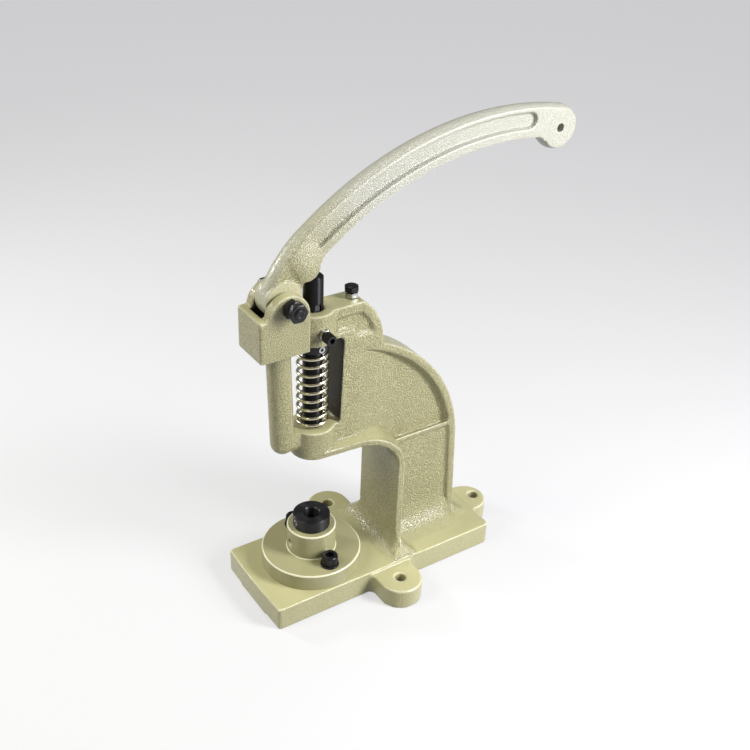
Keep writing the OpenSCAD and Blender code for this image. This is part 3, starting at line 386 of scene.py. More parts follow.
# Where the paint shows the grain of the mould, and where it is smooth
flat_face = 0.97
dressed_depth = 0.5 * mm
boss_face = 0.8
boss_r = 18 * mm
level_face = 0.75
level_loss = 0.65
base_side_grain = 0.4
places, normals = points_of(casting.data)
x, y, z = places.T
dressed = (normals[:, 2] > flat_face) & (z < base_top + dressed_depth)
boss_end = (np.abs(normals[:, 2]) > boss_face) & (np.hypot(x, y) < boss_r)
levelled = 1 - level_loss * share_of(normals[:, 2], level_face, 1.0)
filled = np.where(z < base_top, base_side_grain, 1.0)
write_attribute(casting.data, "as_cast", np.where(dressed | boss_end, 0.0, levelled * filled))
write_attribute(casting.data, "edge", edge_share(casting.data))

# Painted shade, with some grease: the window's rear wall and the fork's slot are darkened to near black
window_reach = 30 * mm
window_low = 156 * mm
window_high = 228 * mm
wall_start = 0.45
wall_full = 0.75
slot_half = 8.9 * mm
slot_border = 0.4 * mm
slot_front = -46.4 * mm
slot_rear = -14 * mm
slot_floor = 250 * mm
all_shade_and_grease = 0.98
in_window = between(x, 0, window_reach) & between(z, window_low, window_high)
rear_wall = np.where(in_window, share_of(-normals[:, 0], wall_start, wall_full), 0)
along_slot = between(x, slot_front, slot_rear) & (z > slot_floor)
in_slot = np.where(along_slot, share_of(np.abs(y), slot_half, slot_half - slot_border), 0)
shade_and_grease = np.maximum(rear_wall, in_slot)
write_attribute(casting.data, "shade_and_grease", shade_and_grease)
casting.data.materials.clear()
casting.data.materials.append(olive_paint("olive paint on the casting", shade=1.0))
casting.data.materials.append(painted_shade_and_grease("painted shade and grease on the casting"))
# Faces wholly in that painted shade take the near black finish
for face in casting.data.polygons:
    face.material_index = int(min(shade_and_grease[corner] for corner in face.vertices) > all_shade_and_grease)
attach(casting, "press_frame")
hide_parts("frame_casting")


# The die table: a round flange with a hub, turned from cast iron and painted with the frame.
# It stands on the dressed base and is held by two cap screws. The turning shows as fine rings.

def rounded_profile(corners, hold):
    """Points of a half section whose corners (radius, height, rounding) are rounded off.

    With a hold, a point on each side keeps what is written on the rounding off the flats.
    """
    steps = 5
    points = []
    last = len(corners) - 1
    for number, (radius, height, rounding) in enumerate(corners):
        here = Vector((radius, height))
        if rounding == 0 or number in (0, last):
            points.append(here)
            continue
        before = (Vector(corners[number - 1][:2]) - here).normalized()
        after = (Vector(corners[number + 1][:2]) - here).normalized()
        half = before.angle(after) / 2
        reach = rounding / math.tan(half)
        middle = here + (before + after).normalized() * rounding / math.sin(half)
        start = here + before * reach - middle
        end = here + after * reach - middle
        if hold:
            points.append(here + before * (reach + hold))
        for step in range(steps + 1):
            share = step / steps
            points.append(middle + (start * (1 - share) + end * share).normalized() * rounding)
        if hold:
            points.append(here + after * (reach + hold))
    return points


def turned(piece, corners, sides=128, hold=0.0):
    """A turned piece from a half section that starts and ends on the axis or closes on itself."""
    points = rounded_profile(corners, hold)
    form = bmesh.new()
    rings = []
    for point in points:
        if point.x < 1e-9:
            rings.append([form.verts.new((0, 0, point.y))])
            continue
        ring = []
        for side in range(sides):
            angle = 2 * math.pi * side / sides
            ring.append(form.verts.new((point.x * math.cos(angle), point.x * math.sin(angle), point.y)))
        rings.append(ring)
    for low, high in zip(rings, rings[1:]):
        for side in range(sides):
            after = (side + 1) % sides
            lower = [low[side % len(low)], low[after % len(low)]]
            upper = [high[after % len(high)], high[side % len(high)]]
            face = list(dict.fromkeys(lower + upper))
            if len(face) > 2:
                form.faces.new(face)
    bmesh.ops.remove_doubles(form, verts=form.verts, dist=1e-8)
    bmesh.ops.recalc_face_normals(form, faces=form.faces)
    mesh = bpy.data.meshes.new(piece)
    form.to_mesh(mesh)
    form.free()
    made = bpy.data.objects.new(piece, mesh)
    scene.collection.objects.link(made)
    return made


def smooth_by_angle(mesh, degrees):
    """Smooth shading, with edges sharper than an angle kept crisp."""
    mesh.shade_smooth()
    form = bmesh.new()
    form.from_mesh(mesh)
    limit = math.radians(degrees)
    for edge in form.edges:
        edge.smooth = len(edge.link_faces) == 2 and edge.calc_face_angle(0) < limit
    form.to_mesh(mesh)
    form.free()


def cut_hole(piece, middle, axis, radius, length):
    """Drills a round hole from a point along an axis."""
    drill_sides = 40
    drill = turned("drill", [(0, 0, 0), (radius, 0, 0), (radius, length, 0), (0, length, 0)], drill_sides)
    turn = Vector((0, 0, 1)).rotation_difference(Vector(axis)).to_matrix().to_4x4()
    drill.data.transform(Matrix.Translation(middle) @ turn)
    cut = piece.modifiers.new("hole", "BOOLEAN")
    cut.operation = "DIFFERENCE"
    cut.solver = "EXACT"
    cut.object = drill
    mesh = bpy.data.meshes.new_from_object(piece.evaluated_get(bpy.context.evaluated_depsgraph_get()))
    piece.modifiers.remove(cut)
    piece.data = mesh
    bpy.data.objects.remove(drill)


def add_tool_rings(material, rings, wander, depth, strength):
    """Adds a turning tool's fine rings to a finish, over the bump that it has."""
    tree = material.node_tree
    normal = tree.nodes["Principled BSDF"].inputs["Normal"]
    lathe = node_of(tree, "ShaderNodeTexWave", {"Scale": rings, "Distortion": wander},
                    wave_type="RINGS", rings_direction="Z")
    marks = node_of(tree, "ShaderNodeBump", {"Distance": depth, "Strength": strength})
    tree.links.new(tree.nodes["where"].outputs["Object"], lathe.inputs["Vector"])
    tree.links.new(lathe.outputs["Fac"], marks.inputs["Height"])
    if normal.is_linked:
        tree.links.new(normal.links[0].from_socket, marks.inputs["Normal"])
    tree.links.new(marks.outputs["Normal"], normal)


low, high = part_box("die_table")
flange_r = high.x
flange_top = 34.3 * mm
hub_r = 19.9 * mm
hub_top = high.z
stem_bore_r = 11.05 * mm
stem_floor = 26.6 * mm
hub_hole_r = 2.55 * mm
hub_hole_z = 45.0 * mm
through = 1 * mm
turned_crease = 32
# The table's paint is dimmed: painted shade from the arm above it
table_painted_shade = 0.75
table_grain = 0.05
rim_slope = 0.25
rim_highlight = 0.8
rim_reach = hub_r - 2 * mm
table = turned("painted_table", [
    (0, low.z, 0), (flange_r, low.z, 0.3 * mm), (flange_r, flange_top, 1.3 * mm),
    (hub_r, flange_top, 0.8 * mm), (hub_r, hub_top, 1.3 * mm), (stem_bore_r, hub_top, 0.4 * mm),
    (stem_bore_r, stem_floor, 0), (0, stem_floor, 0)], hold=0.5 * mm)
cut_hole(table, (0, 0, hub_hole_z), (-1, 0, 0), hub_hole_r, hub_r + through)
smooth_by_angle(table.data, turned_crease)
places, normals = points_of(table.data)
reach = np.hypot(places[:, 0], places[:, 1])
outward = np.einsum("ij,ij->i", normals[:, :2], places[:, :2]) / np.maximum(reach, 1e-9)
# The rim's edges are lightened: a painted highlight, with a little wear
rim = (outward > rim_slope) & (normals[:, 2] > rim_slope) & (reach > rim_reach)
write_attribute(table.data, "as_cast", np.full(len(places), table_grain))
write_attribute(table.data, "edge", np.where(rim, rim_highlight, 0.0))
table_paint = olive_paint("olive paint on the table", table_painted_shade)
add_tool_rings(table_paint, rings=400, wander=0.4, depth=0.08 * mm, strength=0.25)
table.data.materials.clear()
table.data.materials.append(table_paint)
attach(table, "press_frame")
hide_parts("die_table")


# The die socket: a turned steel collar with a stem that goes down into the hub, blackened in hot oxide.
# Its bore takes the shank of a lower die, and a set screw in its side grips it.

def black_oxide(name, rings, shine, level, ring_sheen):
    """Hot black oxide on steel: near black with an oily gloss, faint tool rings and their drawn-out sheen."""
    blacks = ((0.004, 0.004, 0.005, 1), (0.013, 0.013, 0.016, 1))
    gloss_drift = 0.16
    material = clouded(name, {
        "Metallic": 0.3, "Specular IOR Level": level,
        "Anisotropic": ring_sheen, "Anisotropic Rotation": 0.25},
        scale=180, detail=5, tones=blacks, roughness=(shine, shine + gloss_drift))
    add_tool_rings(material, rings, wander=0.6, depth=0.05 * mm, strength=0.3)
    tree = material.node_tree
    lathe_way = node_of(tree, "ShaderNodeTangent", direction_type="RADIAL", axis="Z")
    tree.links.new(lathe_way.outputs["Tangent"], tree.nodes["Principled BSDF"].inputs["Tangent"])
    return material


low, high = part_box("die_socket")
socket_r = high.x
socket_top = high.z
stem_r = 11.0 * mm
die_bore_r = 6.25 * mm
bore_chamfer = 0.9 * mm
die_hole_z = 61.9 * mm
die_hole_r = 2.55 * mm
black_turned = black_oxide("black oxide on turned steel", rings=500, shine=0.34, level=0.5, ring_sheen=0.8)
socket = turned("black_socket", [
    (die_bore_r, low.z, 0), (stem_r, low.z, 0.3 * mm), (stem_r, hub_top, 0), (socket_r, hub_top, 0.3 * mm),
    (socket_r, socket_top, 0.7 * mm), (die_bore_r + bore_chamfer, socket_top, 0.15 * mm),
    (die_bore_r, socket_top - bore_chamfer, 0.15 * mm), (die_bore_r, low.z, 0)])
cut_hole(socket, (0, 0, die_hole_z), (-1, 0, 0), die_hole_r, socket_r + through)
smooth_by_angle(socket.data, turned_crease)
socket.data.materials.clear()
socket.data.materials.append(black_turned)
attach(socket, "press_frame")
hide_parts("die_socket")


# The set screws of socket, hub, collar and plunger: short threaded studs with a hexagon socket,
# screwed flush into their holes. Two are zinc plated and two are blackened.

zinc_greys = ((0.30, 0.305, 0.31, 1), (0.50, 0.505, 0.505, 1))
zinc = clouded("zinc plate", {"Metallic": 1.0}, scale=350, detail=4, tones=zinc_greys,
               roughness=(0.16, 0.30))
black_screw = black_oxide("black oxide on screws", rings=900, shine=0.2, level=0.4, ring_sheen=0.0)
set_screw_finish = {"die_set_screw": zinc, "collar_set_screw": zinc,
                    "hub_set_screw": black_screw, "upper_die_set_screw": black_screw}
for node, finish in set_screw_finish.items():
    set_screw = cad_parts[node]
    set_screw.data.materials.clear()
    set_screw.data.materials.append(finish)


# The table's two cap screws and washers: M8 socket screws with knurled heads, blackened.
# They pass through the flange into the base, one on each side of the hub.

def geometry_tree(name, sizes, counts=()):
    """A new geometry tree with a named input for each size and count, and its input and output nodes."""
    tree = bpy.data.node_groups.new(name, "GeometryNodeTree")
    for size in sizes:
        tree.interface.new_socket(size, in_out="INPUT", socket_type="NodeSocketFloat")
    for count in counts:
        tree.interface.new_socket(count, in_out="INPUT", socket_type="NodeSocketInt")
    tree.interface.new_socket("Finish", in_out="INPUT", socket_type="NodeSocketMaterial")
    tree.interface.new_socket("Shape", in_out="OUTPUT", socket_type="NodeSocketGeometry")
    return tree, tree.nodes.new("NodeGroupInput"), tree.nodes.new("NodeGroupOutput")


def grown(piece, tree, sizes, finish, place):
    """Runs a geometry tree with these sizes and keeps its result as a plain mesh at a place."""
    seed = bpy.data.objects.new(piece, bpy.data.meshes.new(piece + "_seed"))
    scene.collection.objects.link(seed)
    growth = seed.modifiers.new("growth", "NODES")
    growth.node_group = tree
    for item in tree.interface.items_tree:
        if item.in_out == "INPUT" and item.name in sizes:
            growth[item.identifier] = sizes[item.name]
        if item.in_out == "INPUT" and item.name == "Finish":
            growth[item.identifier] = finish
    mesh = bpy.data.meshes.new_from_object(seed.evaluated_get(bpy.context.evaluated_depsgraph_get()))
    seed.modifiers.remove(growth)
    mesh.transform(place)
    mesh.name = piece
    seed.data = mesh
    return seed


def sum_of(tree, operation, first, second=0.0):
    """A Math node on two sockets or numbers; gives its result socket."""
    sum_node = node_of(tree, "ShaderNodeMath", operation=operation)
    for number, value in enumerate((first, second)):
        if isinstance(value, (int, float)):
            sum_node.inputs[number].default_value = value
        else:
            tree.links.new(value, sum_node.inputs[number])
    return sum_node.outputs["Value"]


def cylinder(tree, sides, radius, depth):
    """A cylinder along Z round the origin."""
    made = node_of(tree, "GeometryNodeMeshCylinder", {"Vertices": sides})
    tree.links.new(radius, made.inputs["Radius"])
    tree.links.new(depth, made.inputs["Depth"])
    return made.outputs["Mesh"]


def cone(tree, bottom, top, depth):
    """A cone with a flat top, along Z from the origin up."""
    made = node_of(tree, "GeometryNodeMeshCone", {"Vertices": 96})
    tree.links.new(bottom, made.inputs["Radius Bottom"])
    tree.links.new(top, made.inputs["Radius Top"])
    tree.links.new(depth, made.inputs["Depth"])
    return made.outputs["Mesh"]


def lifted(tree, shape, height):
    """A shape moved up along Z."""
    way = node_of(tree, "ShaderNodeCombineXYZ")
    moved = node_of(tree, "GeometryNodeTransform")
    tree.links.new(height, way.inputs["Z"])
    tree.links.new(shape, moved.inputs["Geometry"])
    tree.links.new(way.outputs["Vector"], moved.inputs["Translation"])
    return moved.outputs["Geometry"]


def boolean(tree, operation, shapes, base=None):
    """Shapes joined or crossed with each other, or cut from a base."""
    made = node_of(tree, "GeometryNodeMeshBoolean", operation=operation, solver="EXACT")
    if base:
        tree.links.new(base, made.inputs["Mesh 1"])
    for shape in shapes:
        tree.links.new(shape, made.inputs["Mesh 2"])
    return made.outputs["Mesh"]


def finish_tree(tree, shape, finish, end):
    """Ends a tree: instances made real, then the finish set."""
    real = node_of(tree, "GeometryNodeRealizeInstances")
    coat = node_of(tree, "GeometryNodeSetMaterial")
    tree.links.new(shape, real.inputs["Geometry"])
    tree.links.new(real.outputs["Geometry"], coat.inputs["Geometry"])
    tree.links.new(finish, coat.inputs["Material"])
    tree.links.new(coat.outputs["Geometry"], end.inputs["Shape"])


# The corner radius of a hexagon that is one unit wide across its flats
hexagon_r = 1 / math.sqrt(3)


def cap_screw_tree():
    """Socket cap screws in a row along Y, their seats at Z 0: knurled head, hexagon socket and shank."""
    tree, start, end = geometry_tree("cap screws", [
        "Head diameter", "Head height", "Socket flats", "Socket depth", "Shank diameter", "Shank length",
        "Chamfer", "Spread"], ["Screws"])
    knurl_points = 96
    knurl_depth = 0.035
    brim_share = 0.975
    brim_sink = -0.01 * mm
    shank_share = -0.49
    link = tree.links.new
    size = start.outputs
    head_r = sum_of(tree, "MULTIPLY", size["Head diameter"], 0.5)
    shank_r = sum_of(tree, "MULTIPLY", size["Shank diameter"], 0.5)
    knurl_h = sum_of(tree, "SUBTRACT", size["Head height"], size["Chamfer"])

    index = node_of(tree, "GeometryNodeInputIndex")
    tooth = sum_of(tree, "MODULO", index.outputs["Index"], 2)
    place = node_of(tree, "GeometryNodeInputPosition")
    across = node_of(tree, "ShaderNodeVectorMath", {1: (1, 1, 0)}, operation="MULTIPLY")
    inward = node_of(tree, "ShaderNodeVectorMath", operation="SCALE")
    link(place.outputs["Position"], across.inputs[0])
    link(across.outputs["Vector"], inward.inputs["Vector"])
    link(sum_of(tree, "MULTIPLY", tooth, -knurl_depth), inward.inputs["Scale"])
    knurl = node_of(tree, "GeometryNodeSetPosition")
    link(cylinder(tree, knurl_points, head_r, knurl_h), knurl.inputs["Geometry"])
    link(inward.outputs["Vector"], knurl.inputs["Offset"])
    head = lifted(tree, knurl.outputs["Geometry"], sum_of(tree, "MULTIPLY", knurl_h, 0.5))

    brim_bottom = sum_of(tree, "MULTIPLY", head_r, brim_share)
    brim_top = sum_of(tree, "SUBTRACT", head_r, size["Chamfer"])
    brim = lifted(tree, cone(tree, brim_bottom, brim_top, size["Chamfer"]),
                  sum_of(tree, "ADD", knurl_h, brim_sink))
    shank = lifted(tree, cylinder(tree, 48, shank_r, size["Shank length"]),
                   sum_of(tree, "MULTIPLY", size["Shank length"], shank_share))
    key_r = sum_of(tree, "MULTIPLY", size["Socket flats"], hexagon_r)
    key_h = sum_of(tree, "MULTIPLY", size["Socket depth"], 2)
    key = lifted(tree, cylinder(tree, 6, key_r, key_h), size["Head height"])
    whole = boolean(tree, "UNION", (head, brim, shank))
    screw = boolean(tree, "DIFFERENCE", (key,), whole)

    row = node_of(tree, "GeometryNodeMeshLine", mode="END_POINTS")
    link(size["Screws"], row.inputs["Count"])
    for share, row_end in ((-0.5, "Start Location"), (0.5, "Offset")):
        row_place = node_of(tree, "ShaderNodeCombineXYZ")
        link(sum_of(tree, "MULTIPLY", size["Spread"], share), row_place.inputs["Y"])
        link(row_place.outputs["Vector"], row.inputs[row_end])
    each = node_of(tree, "GeometryNodeInstanceOnPoints")
    link(row.outputs["Mesh"], each.inputs["Points"])
    link(screw, each.inputs["Instance"])
    finish_tree(tree, each.outputs["Instances"], size["Finish"], end)
    return tree


cap_screws = cap_screw_tree()
low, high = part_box("table_screw_near")
washer_low, washer_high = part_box("table_washer_near")
screw_seat = washer_high.z
screw_spread = 58 * mm
screw_crease = 35
table_screws = grown("table_screws", cap_screws, {
    "Head diameter": high.x - low.x, "Head height": high.z - screw_seat, "Socket flats": 6.4 * mm,
    "Socket depth": 4.4 * mm, "Shank diameter": 8 * mm, "Shank length": screw_seat - low.z,
    "Chamfer": 0.7 * mm, "Screws": 2, "Spread": screw_spread}, black_screw,
    Matrix.Translation((0, 0, screw_seat)))
smooth_by_angle(table_screws.data, screw_crease)
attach(table_screws, "press_frame")
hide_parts("table_screw_near", "table_screw_far")
washer_r = (washer_high.x - washer_low.x) / 2
washer_hole_r = 4.3 * mm
for side, node in ((-1, "table_washer_near"), (1, "table_washer_far")):
    washer = turned("black_" + node, [
        (washer_hole_r, washer_low.z, 0), (washer_r, washer_low.z, 0.15 * mm),
        (washer_r, washer_high.z, 0.35 * mm), (washer_hole_r, washer_high.z, 0.15 * mm),
        (washer_hole_r, washer_low.z, 0)], sides=72)
    washer.data.transform(Matrix.Translation((0, side * screw_spread / 2, 0)))
    smooth_by_angle(washer.data, turned_crease)
    washer.data.materials.append(black_screw)
    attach(washer, "press_frame")
    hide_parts(node)


# The plunger: a ground steel bar, blackened and oiled, that runs in the two bosses.
# Its top takes the lever's nose, its lower end the upper die, and a keyway stops it from turning.

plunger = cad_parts["plunger"]
black_bar = black_oxide("black oxide on the plunger", rings=650, shine=0.36, level=0.3, ring_sheen=0.95)
plunger.data.materials.clear()
plunger.data.materials.append(black_bar)


# The spring collar: a turned ring on the plunger, with its set screw on the near side.
# The spring's top coil bears on its lower face.

low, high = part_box("spring_collar")
collar_r = high.x
collar_bore_r = 7.55 * mm
collar_hole_r = 2.55 * mm
collar = turned("black_collar", [
    (collar_bore_r, low.z, 0), (collar_r, low.z, 0.5 * mm), (collar_r, high.z, 0.5 * mm),
    (collar_bore_r, high.z, 0.2 * mm), (collar_bore_r, low.z, 0)], sides=96)
cut_hole(collar, (0, 0, (low.z + high.z) / 2), (0, -1, 0), collar_hole_r, collar_r + through)
smooth_by_angle(collar.data, turned_crease)
collar.data.materials.clear()
collar.data.materials.append(black_turned)
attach(collar, "ram")
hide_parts("spring_collar")


# The return spring: bright drawn wire wound round the plunger, with one closed turn at each end.
# It stands on the lower boss, pushes the collar up and shortens as the plunger goes down.

def spring_tree():
    """Wire wound along a helix whose first and last turn lie closer."""
    tree, start, end = geometry_tree("wound spring", [
        "Coil radius", "Wire radius", "Turns", "End turns", "End pitch", "Bottom", "Top"], ["Steps"])
    link = tree.links.new
    size = start.outputs
    line = node_of(tree, "GeometryNodeCurvePrimitiveLine")
    steps = node_of(tree, "GeometryNodeResampleCurve")
    link(line.outputs["Curve"], steps.inputs["Curve"])
    link(size["Steps"], steps.inputs["Count"])
    share = node_of(tree, "GeometryNodeSplineParameter")
    turn = sum_of(tree, "MULTIPLY", share.outputs["Factor"], size["Turns"])
    angle = sum_of(tree, "MULTIPLY", turn, 2 * math.pi)
    free_turns = sum_of(tree, "SUBTRACT", size["Turns"], sum_of(tree, "MULTIPLY", size["End turns"], 2.0))
    rise = sum_of(tree, "SUBTRACT", size["Top"], size["Bottom"])
    end_rise = sum_of(tree, "MULTIPLY", size["End turns"], size["End pitch"])
    free_rise = sum_of(tree, "SUBTRACT", rise, sum_of(tree, "MULTIPLY", end_rise, 2.0))
    free_pitch = sum_of(tree, "DIVIDE", free_rise, free_turns)
    in_first = sum_of(tree, "MINIMUM", turn, size["End turns"])
    past_first = sum_of(tree, "SUBTRACT", turn, size["End turns"])
    in_free = sum_of(tree, "MINIMUM", sum_of(tree, "MAXIMUM", past_first), free_turns)
    in_last = sum_of(tree, "MAXIMUM", sum_of(tree, "SUBTRACT", past_first, free_turns))
    in_ends = sum_of(tree, "MULTIPLY", sum_of(tree, "ADD", in_first, in_last), size["End pitch"])
    height = sum_of(tree, "ADD", in_ends, sum_of(tree, "MULTIPLY", in_free, free_pitch))
    point = node_of(tree, "ShaderNodeCombineXYZ")
    for axis, part in (("X", "COSINE"), ("Y", "SINE")):
        link(sum_of(tree, "MULTIPLY", sum_of(tree, part, angle), size["Coil radius"]), point.inputs[axis])
    link(sum_of(tree, "ADD", height, size["Bottom"]), point.inputs["Z"])
    wound = node_of(tree, "GeometryNodeSetPosition")
    link(steps.outputs["Curve"], wound.inputs["Geometry"])
    link(point.outputs["Vector"], wound.inputs["Position"])
    section = node_of(tree, "GeometryNodeCurvePrimitiveCircle", {"Resolution": 14})
    link(size["Wire radius"], section.inputs["Radius"])
    wire = node_of(tree, "GeometryNodeCurveToMesh", {"Fill Caps": True})
    link(wound.outputs["Geometry"], wire.inputs["Curve"])
    link(section.outputs["Curve"], wire.inputs["Profile Curve"])
    finish_tree(tree, wire.outputs["Mesh"], size["Finish"], end)
    return tree


low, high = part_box("return_spring")
wire_r = 1.3 * mm
straw_greys = ((0.50, 0.46, 0.32, 1), (0.72, 0.68, 0.52, 1))
drawn_wire = clouded("bright spring wire", {"Metallic": 1.0}, scale=260, detail=4, tones=straw_greys,
                     roughness=(0.16, 0.34))
spring = grown("wound_spring", spring_tree(), {
    "Coil radius": high.x - wire_r, "Wire radius": wire_r, "Turns": 9.5, "End turns": 1.0,
    "End pitch": 4.2 * mm, "Bottom": low.z + wire_r, "Top": high.z - wire_r, "Steps": 640}, drawn_wire,
    Matrix.Identity(4))
spring.data.shade_smooth()
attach(spring, "press_frame")
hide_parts("return_spring")
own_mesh(spring)


# The guide screw and its lock nut: a blackened cap screw in the side of the upper boss.
# Its tip runs in the plunger's keyway, and the zinc-plated nut locks it.

def hexagon_tree():
    """A hexagon nut or bolt head on Z 0, its corners chamfered at the ends, with a bore."""
    tree, start, end = geometry_tree("hexagon", ["Flats", "Height", "Bore radius", "Face share"])
    chamfer_slope = math.tan(math.radians(62))
    size = start.outputs
    shape = cylinder(tree, 6, sum_of(tree, "MULTIPLY", size["Flats"], hexagon_r), size["Height"])
    face_r = sum_of(tree, "MULTIPLY", sum_of(tree, "MULTIPLY", size["Flats"], 0.5), size["Face share"])
    wide_r = sum_of(tree, "ADD", face_r, sum_of(tree, "MULTIPLY", size["Height"], chamfer_slope))
    for bottom, top in ((wide_r, face_r), (face_r, wide_r)):
        centred = lifted(tree, cone(tree, bottom, top, size["Height"]),
                         sum_of(tree, "MULTIPLY", size["Height"], -0.5))
        shape = boolean(tree, "INTERSECT", (shape, centred))
    drill = cylinder(tree, 64, size["Bore radius"], sum_of(tree, "MULTIPLY", size["Height"], 2.0))
    bored = boolean(tree, "DIFFERENCE", (drill,), shape)
    stood = lifted(tree, bored, sum_of(tree, "MULTIPLY", size["Height"], 0.5))
    finish_tree(tree, stood, size["Finish"], end)
    return tree


hexagons = hexagon_tree()
near_way = Matrix.Rotation(math.radians(90), 4, "X")
low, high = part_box("guide_screw")
nut_low, nut_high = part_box("guide_lock_nut")
guide_z = (low.z + high.z) / 2
guide_d = 5 * mm
nut_face = 0.95
nut_crease = 30
guide_screw = grown("guide_cap_screw", cap_screws, {
    "Head diameter": high.x - low.x, "Head height": nut_low.y - low.y, "Socket flats": 4 * mm,
    "Socket depth": 2.8 * mm, "Shank diameter": guide_d, "Shank length": high.y - nut_low.y,
    "Chamfer": 0.5 * mm, "Screws": 1, "Spread": 0.0}, black_screw,
    Matrix.Translation((0, nut_low.y, guide_z)) @ near_way)
smooth_by_angle(guide_screw.data, screw_crease)
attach(guide_screw, "press_frame")
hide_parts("guide_screw")
guide_nut = grown("guide_nut", hexagons, {
    "Flats": nut_high.z - nut_low.z, "Height": nut_high.y - nut_low.y, "Bore radius": guide_d / 2,
    "Face share": nut_face}, zinc, Matrix.Translation((0, nut_high.y, guide_z)) @ near_way)
smooth_by_angle(guide_nut.data, nut_crease)
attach(guide_nut, "press_frame")
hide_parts("guide_lock_nut")


# The hand lever: one long curved casting with a hub between the fork's ears, a nose that presses on
# the plunger, a recess along each side and an eye at the end. It is painted as the frame is.

lever_voxel = 0.65 * mm
lever_passes = 1
lever_triangles = 190000
lever_eye = (212.93 * mm, 0, 354.52 * mm)
eye_hole_r = 3.5 * mm
eye_reach = 7.4 * mm
pivot = (-27.5 * mm, 0, 268.0 * mm)
pivot_hole_r = 4.05 * mm
pivot_reach = 8.2 * mm
lever = cast_skin("lever", "painted_lever", lever_voxel, lever_passes, lever_triangles)
drilled(lever.data, lever_eye, (0, 1, 0), eye_hole_r, -eye_reach, eye_reach)
drilled(lever.data, pivot, (0, 1, 0), pivot_hole_r, -pivot_reach, pivot_reach)

# The side beside the round hub, set back from the hub's face, and the crease at the nose, eased
lever_hub_r = 15.2 * mm
lever_hub_half = 8.1 * mm
lever_side_half = 7.1 * mm
hub_fillet = 1.3 * mm
nose_x = -8 * mm
nose_lean = 0.55
root_top = 310 * mm
crease_reach = 5 * mm
crease_half = 4 * mm
crease_passes = 14
places, normals = points_of(lever.data)
x, y, z = places.T
from_pivot = np.hypot(x - pivot[0], z - pivot[2])
fillet = share_of(from_pivot, lever_hub_r, lever_hub_r + hub_fillet)
fall = (lever_hub_half - lever_side_half) * fillet * fillet * (3 - 2 * fillet)
crease_x = nose_x - nose_lean * (z - pivot[2])
beside_hub = (x < crease_x) & (z < root_top) & (np.abs(y) > lever_side_half)
set_back = np.minimum(fall, np.abs(y) - lever_side_half)
places[beside_hub, 1] -= np.sign(places[beside_hub, 1]) * set_back[beside_hub]
move_points(lever.data, places)
near_crease = (np.abs(x - crease_x) < crease_reach) & (np.abs(y) > crease_half)
near_crease &= between(z, pivot[2], root_top)
eased(lever.data, near_crease, crease_passes)

# Where the paint is paler: towards the long end, from hands rubbing it and from a painted highlight where
# more light falls; along the up-facing back, a painted highlight; and where its grain is filled
hub_facing = 0.8
hub_grain = 0.4
side_grain = 0.5
grip_start = 15 * mm
grip_full = 90 * mm
grip_loss = 0.45
back_start = 0.4
back_full = 0.75
back_band_light = 0.65
hub_rub = 0.25
places, normals = points_of(lever.data)
hub_face = (from_pivot < lever_hub_r) & (np.abs(normals[:, 1]) > hub_facing)
held = share_of(from_pivot, grip_start, grip_full)
grain = np.clip(side_grain + np.abs(normals[:, 1]), 0, 1) * (1 - grip_loss * held)
# The back faces up into the light and is painted paler: a painted highlight
outward = np.clip(normals[:, 2] - normals[:, 0], 0, 1) * (1 - normals[:, 1] ** 2)
lit_back_band = back_band_light * share_of(outward, back_start, back_full)
rubbed_and_lit = np.maximum(np.maximum(held, lit_back_band), np.where(hub_face, hub_rub, 0.0))
write_attribute(lever.data, "edge", edge_share(lever.data))
write_attribute(lever.data, "as_cast", np.where(hub_face, hub_grain, grain))
write_attribute(lever.data, "rubbed_and_lit", rubbed_and_lit)
lever.data.materials.clear()
lever.data.materials.append(olive_paint("olive paint on the lever", shade=1.0))
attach(lever, "hand_lever")
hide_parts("lever")


# The pivot bolt and its two nuts: a blackened M8 hexagon bolt through both ears and the lever's hub.
# Its head is on the far side. On the near side a thin lock nut holds the nut, so the lever turns freely.

def edges_broken(piece, width):
    """Breaks a piece's sharp edges with a narrow rounded bevel that catches the light."""
    crease = 40
    bevel = piece.modifiers.new("bevel", "BEVEL")
    bevel.width = width
    bevel.segments = 2
    bevel.limit_method = "ANGLE"
    bevel.angle_limit = math.radians(25)
    bevel.use_clamp_overlap = True
    mesh = bpy.data.meshes.new_from_object(piece.evaluated_get(bpy.context.evaluated_depsgraph_get()))
    piece.modifiers.remove(bevel)
    mesh.name = piece.name
    piece.data = mesh
    smooth_by_angle(mesh, crease)


low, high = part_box("pivot_bolt")
nut_low, nut_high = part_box("pivot_nut")
lock_low, lock_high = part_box("pivot_lock_nut")
bolt_r = 4 * mm
bolt_flats = nut_high.x - nut_low.x
bolt_seat = -nut_high.y
bolt_end = bolt_seat - low.y
end_chamfer = 0.9 * mm
end_dimple = 0.3 * mm
centre_bore_r = 0.1 * mm
edge_break = 0.2 * mm
far_way = Matrix.Rotation(math.radians(-90), 4, "X")
pivot_stud = turned("pivot_stud", [
    (0, 0, 0), (bolt_r, 0, 0), (bolt_r, bolt_end - end_chamfer, 0.2 * mm),
    (bolt_r - end_chamfer, bolt_end, 0.3 * mm), (0.5 * bolt_r, bolt_end, 0.1 * mm),
    (0.4 * bolt_r, bolt_end - end_dimple, 0.1 * mm), (0, bolt_end - end_dimple, 0)], sides=64)
pivot_stud.data.transform(Matrix.Translation((pivot[0], bolt_seat, pivot[2])) @ near_way)
smooth_by_angle(pivot_stud.data, turned_crease)
pivot_stud.data.materials.append(black_screw)
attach(pivot_stud, "press_frame")
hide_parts("pivot_bolt")
bolt_head = grown("pivot_head", hexagons, {
    "Flats": bolt_flats, "Height": high.y - bolt_seat, "Bore radius": centre_bore_r,
    "Face share": nut_face}, black_screw, Matrix.Translation((pivot[0], bolt_seat, pivot[2])) @ far_way)
edges_broken(bolt_head, edge_break)
